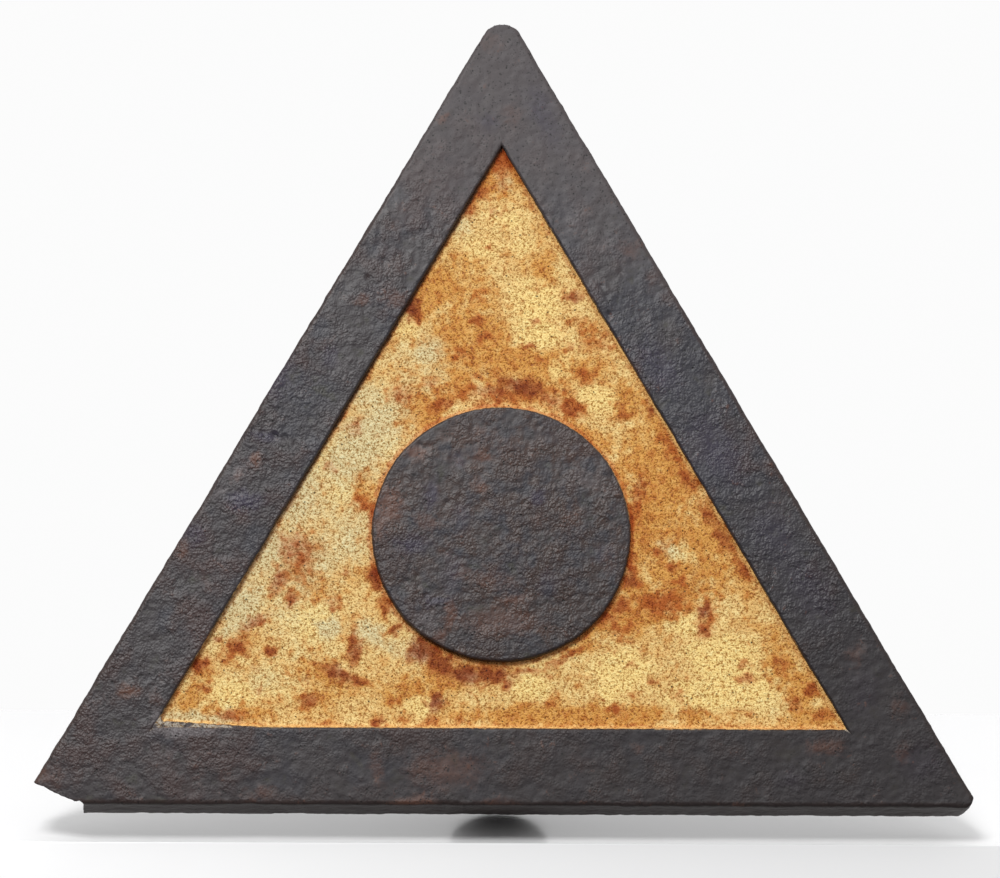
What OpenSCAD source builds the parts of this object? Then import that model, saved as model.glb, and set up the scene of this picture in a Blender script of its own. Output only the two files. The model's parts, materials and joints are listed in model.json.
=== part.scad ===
// Cast iron railway sign: a triangular plate with a raised border and a raised
// disc on its face, a return edge and ribs behind it, and a socket for a tube
// post. The front faces -Y, +Z is up, and the origin is the centre of the
// socket's mouth.

/* [Face] */
// Side of the front triangle, from corner to corner before they are rounded
side = 660.4; // [560:0.1:780]
// Width of the raised border, square to the side
border_w = 52.1; // [40:0.1:60]
// Height of the border and the disc above the recessed field
relief = 6.35; // [4:0.05:9]
// Thickness of the plate behind the field
web_t = 9.5; // [7:0.1:13]
// Diameter of the raised disc
disc_d = 180.6; // [120:0.1:200]
// Draft of every wall that the mould lets go of, in degrees
draft = 2; // [0.5:0.1:4]
// Radius of the worn outer arris, round the front of the border
arris_r = 3; // [1:0.1:4]
// Radius of the small arris beside the field and round the disc
inner_arris_r = 1.5; // [0.5:0.1:2.5]
// Radius of the rounded top corner
apex_r = 15; // [8:0.5:20]
// Radius of the rounded lower corners
foot_r = 8.5; // [5:0.5:14]

/* [Return edge] */
// Depth of the casting's edge, from the border's front to the rim behind
edge_depth = 38.1; // [32:0.1:50]
// Thickness of the return edge, at the front
edge_t = 9.5; // [7:0.1:13]

/* [Post socket] */
// Diameter of the bore, for a tube post of 48.3 mm
bore_d = 50.8; // [45:0.1:60]
// Depth of the blind bore
bore_depth = 112; // [100:1:150]
// Thickness of the socket's wall
socket_t = 7.5; // [6:0.5:10]
// Thickness of the closed top
cap_t = 9; // [6:0.5:14]
// Radius of the rounded arris round the closed top
cap_r = 6; // [3:0.5:8]
// Space between the return edge and the side of the bore
post_gap = 2; // [1:0.5:8]
// How far the collar round the mouth stands out of the barrel
collar_out = 2; // [1:0.5:4]
// Height of the collar round the mouth
collar_h = 14; // [10:0.5:16]
// Width of the saddle that joins the barrel to the plate
saddle_w = 52; // [40:0.5:58]

/* [Ribs] */
// Thickness of the ribs
rib_t = 9.5; // [7:0.1:13]
// How far the ribs' tips stay inside the rim of the return edge
rib_set_in = 4; // [2:0.5:8]
// How far the side ribs stand out of the plate at the saddle
rib_root = 38; // [30:0.5:44]
// How far the spine stands out of the plate at the top of the socket
spine_root = 44; // [36:0.5:48]
// Height above the mouth at which the side ribs meet on the centre line
rib_z = 74; // [68:1:80]
// Rise of the side ribs, in degrees
rib_rise = 30; // [20:1:40]

/* [Set screws] */
// Diameter of the set screws
screw_d = 12.7; // [10:0.1:14]
// Clearance round the screws in their holes
screw_gap = 0.1; // [0.05:0.05:0.2]
// Height of the lower set screw above the mouth
screw_z = 33; // [31:1:38]
// Distance between the two set screws
screw_pitch = 52; // [44:1:56]
// Diameter of the boss round each screw hole
boss_d = 29; // [27:0.5:30]
// How far the bosses stand out of the barrel
boss_out = 5; // [3:0.5:8]
// Width of the lock nuts across their flats
nut_w = 23.4; // [20:0.1:24]
// Thickness of the lock nuts
nut_t = 8; // [6:0.1:11]
// Width of the square heads across their flats
head_w = 13.5; // [13:0.1:18]
// Height of the square heads
head_t = 11; // [8:0.5:14]
// Length of shank that shows between the lock nut and the head
neck = 9; // [4:0.5:16]
// How far the tips are drawn back from the bore
tip_back = 0.8; // [0.5:0.1:3]

/* [Broken corner] */
// How far up the left side the break begins
break_up = 17.5; // [15.5:0.5:24]
// How far along the lower side the break ends
break_along = 43.8; // [36:0.1:60]
// Height of the lip that is left near the end of the break
break_lip_h = 1.7; // [1:0.1:3]
// Length of that lip
break_lip = 4; // [2:0.1:6]
// How far the break falls away past the lip
break_fall = 2.8; // [1.5:0.1:4]

/* [Hidden] */

// Turns about the centre that carry the lower side to the lower, left and right sides
turns = [0, 120, -120];

flare = tan(draft);                       // outward lean of a drafted wall
web_back = relief + web_t;                // depth of the plate's back
tri_h = side * sin(60);                   // height of the front triangle
inradius = tri_h / 3;                     // centre to each side
base_z = -edge_t;                         // the front triangle's lower side
mid_z = base_z + inradius;                // centre of the triangle and the disc
bore_r = bore_d / 2;
barrel_r = bore_r + socket_t;
collar_r = barrel_r + collar_out;
post_y = edge_depth + post_gap + bore_r;  // post axis, from the border's front
top_z = bore_depth + cap_t;               // top of the closed socket
boss_face = barrel_r + boss_out;          // seat of the lock nuts, from the axis
screw_hole_r = screw_d / 2 + screw_gap;
past = 1;                                 // how far a cut runs past a face
$fn = 96;
arc_steps = 6;                            // straight steps in a small arris
corner_steps = 10;                        // straight steps in a rounded corner

// Points of an arc about [cx, cy], from angle a0 to a1
function arc(cx, cy, r, a0, a1, steps) =
  [for (i = [0 : steps]) let (a = a0 + (a1 - a0) * i / steps) [cx + r * cos(a), cy + r * sin(a)]];

// The front triangle, each side moved inwards by d, as [x, z]
function tri(d) = [
  [-side / 2 + d * sqrt(3), base_z + d],
  [side / 2 - d * sqrt(3), base_z + d],
  [0, base_z + tri_h - 2 * d]];

// Moves a child from the face's own depth, 0 at the border's front, to the post's axis
module from_front() translate([0, -post_y, 0]) children();

// Raises an outline drawn as [x, z] between two depths
module sheet(y0, y1) translate([0, y1, 0]) rotate([90, 0, 0]) linear_extrude(height = y1 - y0) children();

// Draws a profile given as [depth, distance in from the side] along one side
module along_side(turn, length)
  translate([0, 0, mid_z]) rotate([0, turn, 0]) translate([0, 0, -inradius])
    rotate([90, 0, 90]) linear_extrude(height = length, center = true) children();

// The third of the sign that belongs to one side, between its two mitres
module third(turn) {
  reach = side;
  translate([0, 0, mid_z]) rotate([0, turn, 0]) sheet(-past, edge_depth + past)
    polygon([[0, 0], [-reach * cos(30), -reach * sin(30)], [reach * cos(30), -reach * sin(30)]]);
}

// What a rounded corner takes off, given the corner's place, the angle towards
// the sign's middle and the radius
module corner_waste(corner, towards, r) {
  centre = corner + 2 * r * [cos(towards), sin(towards)];
  reach = 3 * r;
  away = towards + 180;
  sheet(-past, edge_depth + past) polygon(concat(
    [centre + (r + reach) * [cos(away + 60), sin(away + 60)]],
    arc(centre[0], centre[1], r, away + 60, away - 60, corner_steps),
    [centre + (r + reach) * [cos(away - 60), sin(away - 60)]],
    [corner + reach * [cos(away), sin(away)]]));
}

// Everything outside the two rounded corners that are whole
module rounded_corners() {
  rim = tri(-edge_depth * flare);
  corner_waste(rim[2], -90, apex_r);
  corner_waste(rim[1], 150, foot_r);
}

// The missing piece at the broken lower left corner
module break_waste() {
  corner = tri(0)[0];
  reach = 3 * break_up;
  start = corner + break_up * [cos(60), sin(60)];
  lip_x = break_along - break_fall - break_lip;
  sheet(-past, edge_depth + past) polygon([
    start + reach * [-cos(30), sin(30)],
    start,
    corner + [lip_x, break_lip_h],
    corner + [lip_x + break_lip, break_lip_h],
    corner + [break_along, 0],
    corner + [break_along, -reach],
    corner + [-reach, -reach]]);
}

// One side's length of a profile, mitred, with the corners as cast and as broken
module mitred(turn) {
  difference() {
    intersection() {
      along_side(turn, 2 * side) children();
      third(turn);
    }
    rounded_corners();
    break_waste();
  }
}

// Section of the raised border
module border_profile() {
  lean = relief * flare;
  polygon(concat(
    [[relief, -lean]],
    arc(arris_r, arris_r - arris_r * flare, arris_r, 270, 180, arc_steps),
    arc(inner_arris_r, border_w - inner_arris_r, inner_arris_r, 180, 90, arc_steps),
    [[relief, border_w + lean]]));
}

// Section of the return edge behind the plate
module edge_profile() {
  polygon([
    [web_back, -web_back * flare],
    [edge_depth, -edge_depth * flare],
    [edge_depth, edge_t],
    [web_back, edge_t]]);
}

// The plate that carries everything
module face_plate() {
  across = 3 * inradius;
  color([0.80, 0.66, 0.38]) from_front() difference() {
    intersection_for (turn = turns)
      along_side(turn, 3 * side) polygon([
        [relief, -relief * flare],
        [web_back, -web_back * flare],
        [web_back, across],
        [relief, across]]);
    rounded_corners();
    break_waste();
  }
}

// The raised border, one bar to each side
module border_bar(turn) color([0.16, 0.15, 0.15]) from_front() mitred(turn) border_profile();
module border_left() border_bar(turns[1]);
module border_right() border_bar(turns[2]);
module border_bottom() border_bar(turns[0]);

// The raised disc, drafted, with a small arris
module centre_disc() {
  disc_r = disc_d / 2;
  lean = relief * flare;
  color([0.16, 0.15, 0.15]) from_front() translate([0, relief, mid_z]) rotate([90, 0, 0])
    rotate_extrude() polygon(concat(
      [[0, 0], [disc_r + lean, 0]],
      arc(disc_r - inner_arris_r, relief - inner_arris_r, inner_arris_r, 0, 90, arc_steps),
      [[0, relief]]));
}

// The return edge behind the plate, one bar to each side
module edge_bar(turn) color([0.20, 0.16, 0.14]) from_front() mitred(turn) edge_profile();
module edge_left() edge_bar(turns[1]);
module edge_right() edge_bar(turns[2]);
module edge_bottom() edge_bar(turns[0]);

// The hollow behind the plate, inside the return edge
module back_hollow(depth) sheet(web_back, web_back + depth) polygon(tri(edge_t));

// Section of a rib along its length: deep at its root, with a hollow curve down
// to its tip just inside the rim
function rib_depth(t, root) =
  let (tip = edge_depth - web_back - rib_set_in) tip + (root - tip) * pow(1 - t, 2);
module rib_outline(length, root) {
  steps = 12;
  polygon(concat(
    [[0, 0]],
    [for (i = [0 : steps]) [length * i / steps, rib_depth(i / steps, root)]],
    [[length, 0]]));
}

// The spine, from the top of the socket to the top corner
module spine_rib() {
  length = base_z + tri_h - 2 * edge_t - top_z;
  color([0.20, 0.16, 0.14]) from_front() intersection() {
    translate([rib_t / 2, web_back, top_z]) rotate([0, -90, 0])
      linear_extrude(height = rib_t) rib_outline(length, spine_root);
    back_hollow(spine_root + past);
  }
}

// A side rib, from the saddle's side to the return edge, to the right at way = 1
module side_rib(way) {
  rise = tri_h + base_z - rib_z;
  length = rise * sin(30) / cos(rib_rise - 30) - edge_t / cos(rib_rise - 30);
  color([0.20, 0.16, 0.14]) from_front() intersection() {
    mirror([way < 0 ? 1 : 0, 0, 0]) intersection() {
      translate([0, web_back, rib_z]) rotate([0, -rib_rise, 0]) translate([0, 0, -rib_t / 2])
        linear_extrude(height = rib_t) rib_outline(length + rib_t, rib_root);
      translate([saddle_w / 2, 0, 0]) cube([side, 2 * post_y, tri_h]);
    }
    back_hollow(rib_root + past);
  }
}
module rib_left() side_rib(-1);
module rib_right() side_rib(1);

// Places a child on each set screw's axis, pointing out of the barrel's back
module at_screws() {
  for (i = [0, 1]) translate([0, 0, screw_z + i * screw_pitch]) rotate([-90, 0, 0]) children();
}

// The socket: a barrel with a collar and a closed top, its saddle and its bosses
module post_socket() {
  saddle_d = post_y - web_back;
  color([0.22, 0.17, 0.14]) difference() {
    union() {
      rotate_extrude() polygon(concat(
        [[0, 0], [collar_r, 0], [collar_r, collar_h - collar_out], [barrel_r, collar_h]],
        arc(barrel_r - cap_r, top_z - cap_r, cap_r, 0, 90, arc_steps),
        [[0, top_z]]));
      translate([-saddle_w / 2, -saddle_d, 0]) cube([saddle_w, saddle_d, top_z]);
      at_screws() cylinder(d = boss_d, h = boss_face);
    }
    translate([0, 0, -past]) cylinder(r = bore_r, h = bore_depth + past);
    at_screws() cylinder(r = screw_hole_r, h = boss_face + past);
  }
}

// A round blank with chamfered ends that takes the corners off a nut or a head
module chamfered_blank(width, height, both) {
  corner = 0.12 * width;
  low = both ? corner : 0;
  rotate_extrude() polygon([
    [0, 0], [width / 2 + corner - low, 0], [width / 2 + corner, low / 2],
    [width / 2 + corner, height - corner / 2], [width / 2, height], [0, height]]);
}

// The two set screws, square headed, drawn back clear of the bore
module set_screws() {
  tip = bore_r + tip_back;
  head_at = boss_face + nut_t + neck;
  color([0.30, 0.24, 0.20]) at_screws() {
    translate([0, 0, tip]) cylinder(d = screw_d, h = head_at - tip);
    translate([0, 0, head_at]) intersection() {
      translate([-head_w / 2, -head_w / 2, 0]) cube([head_w, head_w, head_t]);
      chamfered_blank(1.1 * head_w, head_t, false);
    }
  }
}

// The lock nuts, tight against the bosses
module lock_nuts() {
  corner_d = nut_w / cos(30);
  color([0.30, 0.24, 0.20]) at_screws() translate([0, 0, boss_face]) difference() {
    intersection() {
      cylinder(d = corner_d, h = nut_t, $fn = 6);
      chamfered_blank(nut_w, nut_t, true);
    }
    translate([0, 0, -past]) cylinder(r = screw_hole_r, h = nut_t + 2 * past);
  }
}

face_plate();
border_left();
border_right();
border_bottom();
centre_disc();
edge_left();
edge_right();
edge_bottom();
spine_rib();
rib_left();
rib_right();
post_socket();
set_screws();
lock_nuts();
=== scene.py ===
# %% [markdown]
# # A cast iron railway sign
#
# The real sign is one heavy iron casting, poured in sand: a triangular plate with a raised
# border and a raised disc, a return edge behind it, three ribs and a socket for a tube post.
# The face is painted black on a cream field, and rust has worked through both paints.
#
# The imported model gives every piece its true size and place. This script lays a cast, worn
# and painted skin over each of its pieces, and stands the sign on a pale table.

import json
import math

import bmesh
import bpy
import numpy as np
from mathutils import Matrix, Quaternion, Vector, noise


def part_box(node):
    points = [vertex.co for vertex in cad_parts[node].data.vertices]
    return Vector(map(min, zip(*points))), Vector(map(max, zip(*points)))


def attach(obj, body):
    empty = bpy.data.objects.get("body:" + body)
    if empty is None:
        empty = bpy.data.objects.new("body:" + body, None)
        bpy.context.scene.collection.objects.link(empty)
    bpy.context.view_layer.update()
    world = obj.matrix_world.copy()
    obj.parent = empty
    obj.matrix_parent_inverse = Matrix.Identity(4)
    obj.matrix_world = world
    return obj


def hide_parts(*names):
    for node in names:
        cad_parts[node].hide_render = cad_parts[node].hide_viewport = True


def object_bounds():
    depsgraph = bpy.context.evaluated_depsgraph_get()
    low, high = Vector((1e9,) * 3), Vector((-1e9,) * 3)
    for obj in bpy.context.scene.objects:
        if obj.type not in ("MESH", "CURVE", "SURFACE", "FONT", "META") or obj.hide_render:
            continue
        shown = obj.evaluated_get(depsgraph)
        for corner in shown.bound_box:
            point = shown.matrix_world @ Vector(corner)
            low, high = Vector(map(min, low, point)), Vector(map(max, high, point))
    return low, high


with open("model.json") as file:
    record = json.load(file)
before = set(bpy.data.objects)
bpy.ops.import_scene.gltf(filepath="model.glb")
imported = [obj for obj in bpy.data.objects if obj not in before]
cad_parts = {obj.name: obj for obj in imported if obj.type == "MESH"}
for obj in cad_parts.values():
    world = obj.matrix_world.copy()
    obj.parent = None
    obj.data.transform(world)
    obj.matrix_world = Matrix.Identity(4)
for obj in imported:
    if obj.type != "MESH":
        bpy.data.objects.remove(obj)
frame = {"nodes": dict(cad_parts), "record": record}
cad_low, cad_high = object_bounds()
print("nodes", len(frame["nodes"]), "box", [round(v, 4) for v in cad_high - cad_low])

# %% [markdown]
# ## Sizes
#
# A founder's drawing would give the side of the triangle, the width of its border and a few
# depths. The depths are read from the frame, so the skins follow it. The face has its own
# axes here: x to the right and z upwards from the middle of the disc, and y backwards from
# the border's front. One matrix carries them to the sign's place.
#
# edge_t is the thickness of the return edge. flare is the draft of two degrees that lets a
# pattern leave its mould. TURNS says how far each side is turned round the middle from
# lying level at the bottom, and WIDTHS how wide its border is: the lower one is a little
# wider than the other two.

# %% Sizes of the casting
MM = 0.001
side = 660.4 * MM
border_w = 52.1 * MM
edge_t = 9.5 * MM
flare = math.tan(math.radians(2))

face_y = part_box("border_left")[0][1]
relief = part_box("face_plate")[0][1] - face_y
plate_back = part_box("face_plate")[1][1] - face_y
edge_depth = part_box("edge_left")[1][1] - face_y
inradius = side / math.sqrt(12)
centre_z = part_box("border_bottom")[0][2] + relief * flare + inradius
disc_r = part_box("centre_disc")[1][0] - relief * flare
FACE_TO_ROW = Matrix.Translation((0, face_y, centre_z))
TURNS = {"bottom": 0, "left": math.radians(120), "right": math.radians(-120)}
WIDTHS = {"bottom": 54.6 * MM, "left": border_w, "right": border_w}
print("relief", round(relief / MM, 2), "edge", round(edge_depth / MM, 2), "disc", round(disc_r / MM, 2))

# %% [markdown]
# ## Helpers
#
# Every skin is made the same way: a plain closed shape from bmesh operators, an even skin of
# small squares from the Remesh modifier, a little smoothing, and then a push along the
# normals by noise, which stands for the sand of the mould and for a century of rust. The
# noise is read at each point's own place on the sign, so it runs on across the joints.

# %% Objects and modifiers
def as_object(bm, name):
    """Makes a scene object of a bmesh, with its normals outwards."""
    bmesh.ops.recalc_face_normals(bm, faces=bm.faces)
    mesh = bpy.data.meshes.new(name)
    bm.to_mesh(mesh)
    bm.free()
    obj = bpy.data.objects.new(name, mesh)
    bpy.context.scene.collection.objects.link(obj)
    return obj


def settle(obj):
    """Replaces the object's mesh by the one that its modifiers make."""
    graph = bpy.context.evaluated_depsgraph_get()
    made = bpy.data.meshes.new_from_object(obj.evaluated_get(graph))
    obj.modifiers.clear()
    plain = obj.data
    obj.data = made
    bpy.data.meshes.remove(plain)


def reskin(obj, square, passes):
    """Gives a closed shape one even skin of small squares and softens its arrises."""
    skin = obj.modifiers.new("skin", "REMESH")
    skin.mode = "VOXEL"
    skin.voxel_size = square
    soften = obj.modifiers.new("soften", "SMOOTH")
    soften.factor = 0.5
    soften.iterations = passes
    settle(obj)


def discard(obj):
    """Deletes an object and its mesh."""
    mesh = obj.data
    bpy.data.objects.remove(obj)
    bpy.data.meshes.remove(mesh)


def combine(obj, other, operation):
    """Cuts one closed shape by another or keeps their common part, and deletes the other."""
    cut = obj.modifiers.new("cut", "BOOLEAN")
    cut.operation = operation
    cut.solver = "EXACT"
    cut.object = other
    settle(obj)
    discard(other)


# %% Short calls for the mesh operators
# A point counts as lying on a cutting plane when it is as near as this.
FINE = 0.0001 * MM
COARSE = 0.001 * MM


def push_on(bm, swept, step):
    """Moves the points that an extrusion has just made, and returns them."""
    verts = [v for v in swept["geom"] if isinstance(v, bmesh.types.BMVert)]
    bmesh.ops.translate(bm, verts=verts, vec=step)
    return verts


def sweep(bm, points, step):
    """Raises a flat outline into a block, and returns the block's points."""
    face = bm.faces.new([bm.verts.new(p) for p in points])
    made = push_on(bm, bmesh.ops.extrude_face_region(bm, geom=[face]), step)
    return list(face.verts) + made


def trim(bm, point, out, near):
    """Cuts away all that lies beyond a plane."""
    bmesh.ops.bisect_plane(bm, geom=bm.verts[:] + bm.edges[:] + bm.faces[:], dist=near,
                           plane_co=point, plane_no=out, clear_outer=True)


def close(bm):
    """Closes every open edge with flat faces, and returns these."""
    rim = [e for e in bm.edges if e.is_boundary]
    return bmesh.ops.holes_fill(bm, edges=rim, sides=0)["faces"]


def round_off(bm, edges, size):
    bmesh.ops.bevel(bm, geom=edges, offset=size, offset_type="OFFSET", affect="EDGES",
                    segments=3, profile=0.5, material=-1)


# %% Points, noise and attributes
def points_of(obj):
    values = np.empty(3 * len(obj.data.vertices))
    obj.data.vertices.foreach_get("co", values)
    return values.reshape(-1, 3)


def normals_of(obj):
    values = np.empty(3 * len(obj.data.vertices))
    obj.data.vertices.foreach_get("normal", values)
    return values.reshape(-1, 3)


def place_points(obj, points):
    obj.data.vertices.foreach_set("co", np.asarray(points, dtype=float).ravel())
    obj.data.update()


def wander(points, size, seed, octaves=1):
    """Smooth noise from about -1 to 1, in lumps of a given size."""
    shift = Vector((11.3, 4.7, 7.9)) * seed
    return np.array([noise.fractal(Vector(p) / size + shift, 0.7, 2.1, octaves) for p in points])


def rise(values, start, end):
    """Goes smoothly from 0 at start to 1 at end."""
    t = np.clip((values - start) / (end - start), 0, 1)
    return t * t * (3 - 2 * t)


def store(obj, name, values):
    """Keeps one number for each point, which a material reads by its name."""
    made = obj.data.attributes.new(name, "FLOAT", "POINT")
    made.data.foreach_set("value", np.asarray(values, dtype=np.float32))


def spot_gap(points, x, z):
    """How far each point lies from a spot on the face, which is given in millimetres."""
    return np.hypot(points[:, 0] - x * MM, points[:, 2] - z * MM)


def from_side(points, turn):
    """How far each point of the face lies in from one side of the triangle."""
    return inradius + points[:, 0] * math.sin(turn) + points[:, 2] * math.cos(turn)


def from_rim(points):
    """How far each point of the face lies in from the nearest side."""
    return np.minimum.reduce([from_side(points, turn) for turn in TURNS.values()])


def put_on_sign(obj):
    """Carries a finished piece from the face's axes to its place, kept inside the CAD box."""
    obj.data.transform(FACE_TO_ROW)
    place_points(obj, np.clip(points_of(obj), cad_low, cad_high))
    obj.data.shade_smooth()


def count(obj):
    triangles = sum(len(f.vertices) - 2 for f in obj.data.polygons)
    print(obj.name, "points", len(obj.data.vertices), "triangles", triangles)

# %% [markdown]
# ## The three sides
#
# Each side of the sign is one length of the same section: the flat border in front, a steep
# drafted wall down to the field, and the return edge behind. A sweep round the triangle
# would pinch at the corners, so each side is drawn lying level, where the squares of its
# new skin run along its arrises, and is then turned into place and cut at its mitres. The
# noise depends on the place alone, so the three skins meet without a step.
#
# bury is how far a wall runs on into the plate, spare how far a cutting shape stands out of
# the piece that it cuts, and drawn_in how far each skin is pulled in before the grain lifts it.

# %% The section of a side
arris = 2.6 * MM
inner_arris = 1.3 * MM
rim_arris = 1.2 * MM
bury = 1.5 * MM
spare = 6 * MM
drawn_in = 0.5 * MM


def corner_edges(bm, corners):
    """The long edges of a level bar that run through the given corners of its section."""
    found = []
    for edge in bm.edges:
        a, b = (v.co for v in edge.verts)
        if abs(a.x - b.x) < side / 2:
            continue
        if any(math.hypot(a.y - y, a.z - z) < 0.01 * MM for y, z in corners):
            found.append(edge)
    return found


def level_bar(width):
    """One side of the sign, level, with its arrises rounded."""
    foot = relief + bury
    proud = -drawn_in
    outline = [
        (0, proud), (0, width), (foot, width + foot * flare), (foot, edge_t),
        (edge_depth, edge_t), (edge_depth, proud - edge_depth * flare),
    ]
    section = [(y, z - inradius) for y, z in outline]
    half = side / 2 + spare
    bm = bmesh.new()
    sweep(bm, [(-half, y, z) for y, z in section], (2 * half, 0, 0))
    for corners, size in [(section[:1], arris), (section[1:2], inner_arris), (section[4:], rim_arris)]:
        round_off(bm, corner_edges(bm, corners), size)
    return bm


# %% [markdown]
# ## Corners, whole and broken
#
# The two whole corners were rounded on the pattern. Planes that touch the rounding trim the
# plain bar there, and the smoothing turns their facets into one curve. The lower left
# corner has broken off, up to break_up along the left edge and break_along along the lower
# one, with a small lip before its end. The break slants under the sign as it runs back. A
# block with a rough side stands for the missing piece, and a boolean takes it away, so that
# the broken iron shows its own grain.

# %% Trimming the corners
apex_r = 17.5 * MM
foot_r = 8.5 * MM
break_up = 17.5 * MM
break_along = 43.8 * MM
lip_h = 1.7 * MM
lip = 4 * MM
lip_fall = 2.8 * MM
undercut = 12 * MM
leftwards = 2.5 * MM


def rim_corner(way):
    """A corner of the triangle at the rim: way is its angle seen from the middle."""
    reach = 2 * (inradius + edge_depth * flare)
    return Vector((reach * math.cos(way), 0, reach * math.sin(way)))


def round_corner(bm, turn, way, radius):
    """Trims a level bar to a rounded corner of the turned sign."""
    pivot = rim_corner(way) - 2 * radius * Vector((math.cos(way), 0, math.sin(way)))
    back = Matrix.Rotation(-turn, 4, "Y")
    for step in range(-3, 4):
        facing = way + math.radians(15) * step
        out = Vector((math.cos(facing), 0, math.sin(facing)))
        trim(bm, back @ (pivot + radius * out), back @ out, COARSE)
        close(bm)


def break_outline():
    """The missing piece seen from the front, from the corner where two sides would meet."""
    reach = 3 * break_up
    tip_x = break_up * 0.5
    tip_z = break_up * 0.866
    lip_x = break_along - lip_fall - lip
    return [
        (tip_x - reach * math.cos(math.radians(30)), tip_z + reach * 0.5), (tip_x, tip_z),
        (lip_x, lip_h), (lip_x + lip, lip_h), (break_along, 0), (break_along, -reach),
        (-reach, -reach),
    ]


def torn(places, seed):
    """The grain of freshly broken iron."""
    coarse = wander(places, 6 * MM, seed) * 0.9 * MM
    return coarse + wander(places, 2.2 * MM, seed + 1) * 0.35 * MM


def missing_piece():
    """The block that broke off, with a rough side, in the face's axes."""
    corner = Vector((-side / 2, 0, -inradius))
    ahead = spare * undercut / edge_depth
    bm = bmesh.new()
    face = bm.faces.new([bm.verts.new(corner + Vector((x, -spare, z - ahead)))
                         for x, z in break_outline()])
    fresh = [e for e in face.edges if e.calc_length() < 2 * break_up]
    bmesh.ops.subdivide_edges(bm, edges=fresh, cuts=15)
    swept = bmesh.ops.extrude_face_region(bm, geom=bm.faces[:])
    push_on(bm, swept, (-leftwards, edge_depth + 2 * spare, undercut))
    through = [e for e in bm.edges if abs(e.verts[0].co.y - e.verts[1].co.y) > spare]
    bmesh.ops.subdivide_edges(bm, edges=through, cuts=23, use_grid_fill=True)
    places = np.array([v.co for v in bm.verts])
    across = torn(places, 51)
    up = torn(places, 53)
    for i, vert in enumerate(bm.verts):
        here = vert.co - corner
        if 0 < here.x < break_along - 0.1 * MM and here.z > -0.5 * MM:
            vert.co += Vector((across[i], 0, up[i]))
    return as_object(bm, "missing_piece")


# %% [markdown]
# ## Sand, rust and wear
#
# Sand leaves a fine pebbled skin, the pattern's own unevenness makes long low waves, and
# rust under the paint raises lumps and leaves pits. Each is a noise of its own size, pushed
# along the normals. The whole skin is drawn in a little first, so that its highest grains
# still lie inside the casting's true size. The deeper pits sit where the photograph has
# them, and are listed: x and z from the middle of the disc, radius and depth.

# %% Weathering a skin
BORDER_PITS = [
    (-94, 182, 2.6, 1.2), (-173, 73, 2.2, 0.9), (-164, 50, 2.4, 0.9), (-150, 66, 1.8, 0.6),
    (-158, 69, 3.2, 1.1), (-151, 68, 2.6, 1.0), (-166, 71, 2.4, 0.8), (-144, 64, 2.0, 0.8),
    (75, 156, 2.6, 1.0), (73, 169, 2.2, 0.8), (65, 163, 2.0, 0.8), (91, 194, 3.0, 0.7),
    (83, 187, 2.6, 0.7), (69, 177, 1.6, 0.6), (-261, -62, 1.8, 0.7), (-283, -127, 1.7, 0.6),
    (107, 152, 1.6, 0.6), (233, -101, 1.9, 0.6),
]


def sand(points):
    """The height of the cast and rusted grain at each point."""
    waves = wander(points, 34 * MM, 1) * 0.30
    lumps = wander(points, 9 * MM, 2, 2) * 0.22
    grain = wander(points, 3.3 * MM, 3, 2) * 0.16
    folds = np.abs(wander(points, 6.5 * MM, 4)) * 0.34 - 0.08
    return (waves + lumps + grain + folds) * MM


def uneven(points):
    """How far the hand-made pattern strays sideways from its drawing at each point."""
    across = wander(points, 26 * MM, 5) * 0.45 + wander(points, 8 * MM, 6, 2) * 0.22
    up = wander(points, 26 * MM, 7) * 0.45 + wander(points, 8 * MM, 9, 2) * 0.22
    return np.column_stack([across, np.zeros(len(points)), up]) * MM


def weather(obj, pits=(), rough=1.0):
    """Pushes a skin along its normals by the grain, and sinks the pits into its front."""
    points = points_of(obj)
    front = points[:, 1] < relief
    push = sand(points) * rough - drawn_in
    for x, z, radius, depth in pits:
        away = spot_gap(points, x, z)
        push -= depth * MM * (1 - rise(away, 0.3 * radius * MM, radius * MM)) * front
    place_points(obj, points + uneven(points) + normals_of(obj) * push[:, None])


# %% [markdown]
# ## Making the sides
#
# The cream of the field has run over the inner arris, so each point of a side keeps how far
# cream covers it, how near it is to the worn outer edge, and whether it lies on the return
# edge. The cream starts at a slightly different line on each side, and on the left it starts
# later high up than low down.
#
# The tints of the black are placed in millimetres from the middle of the disc: where
# each patch is, its half width and half height, its tilt in degrees, and its strength.

# %% Patches at listed places
def oval(points, spot):
    """How far inside a ragged oval each point lies: 1 in its middle, 0 outside."""
    x, z, half_w, half_h, tilt = spot[:5]
    across = points[:, 0] / MM - x
    up = points[:, 2] / MM - z
    c = math.cos(math.radians(tilt))
    s = math.sin(math.radians(tilt))
    u = (across * c + up * s) / half_w
    v = (up * c - across * s) / half_h
    return np.exp(-(u * u + v * v) ** 1.15 * 0.8)


def patches(points, spots, column=5):
    """The strongest of several patches at each point."""
    total = np.zeros(len(points))
    for spot in spots:
        total = np.maximum(total, oval(points, spot) * spot[column])
    return total


def bent(points, size, seed, amount):
    """The points pushed about sideways, so that a patch read at them has a ragged outline."""
    across = wander(points, size, seed, 3)
    up = wander(points, size, seed + 1, 3)
    return points + np.column_stack([across, np.zeros(len(points)), up]) * amount


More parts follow.
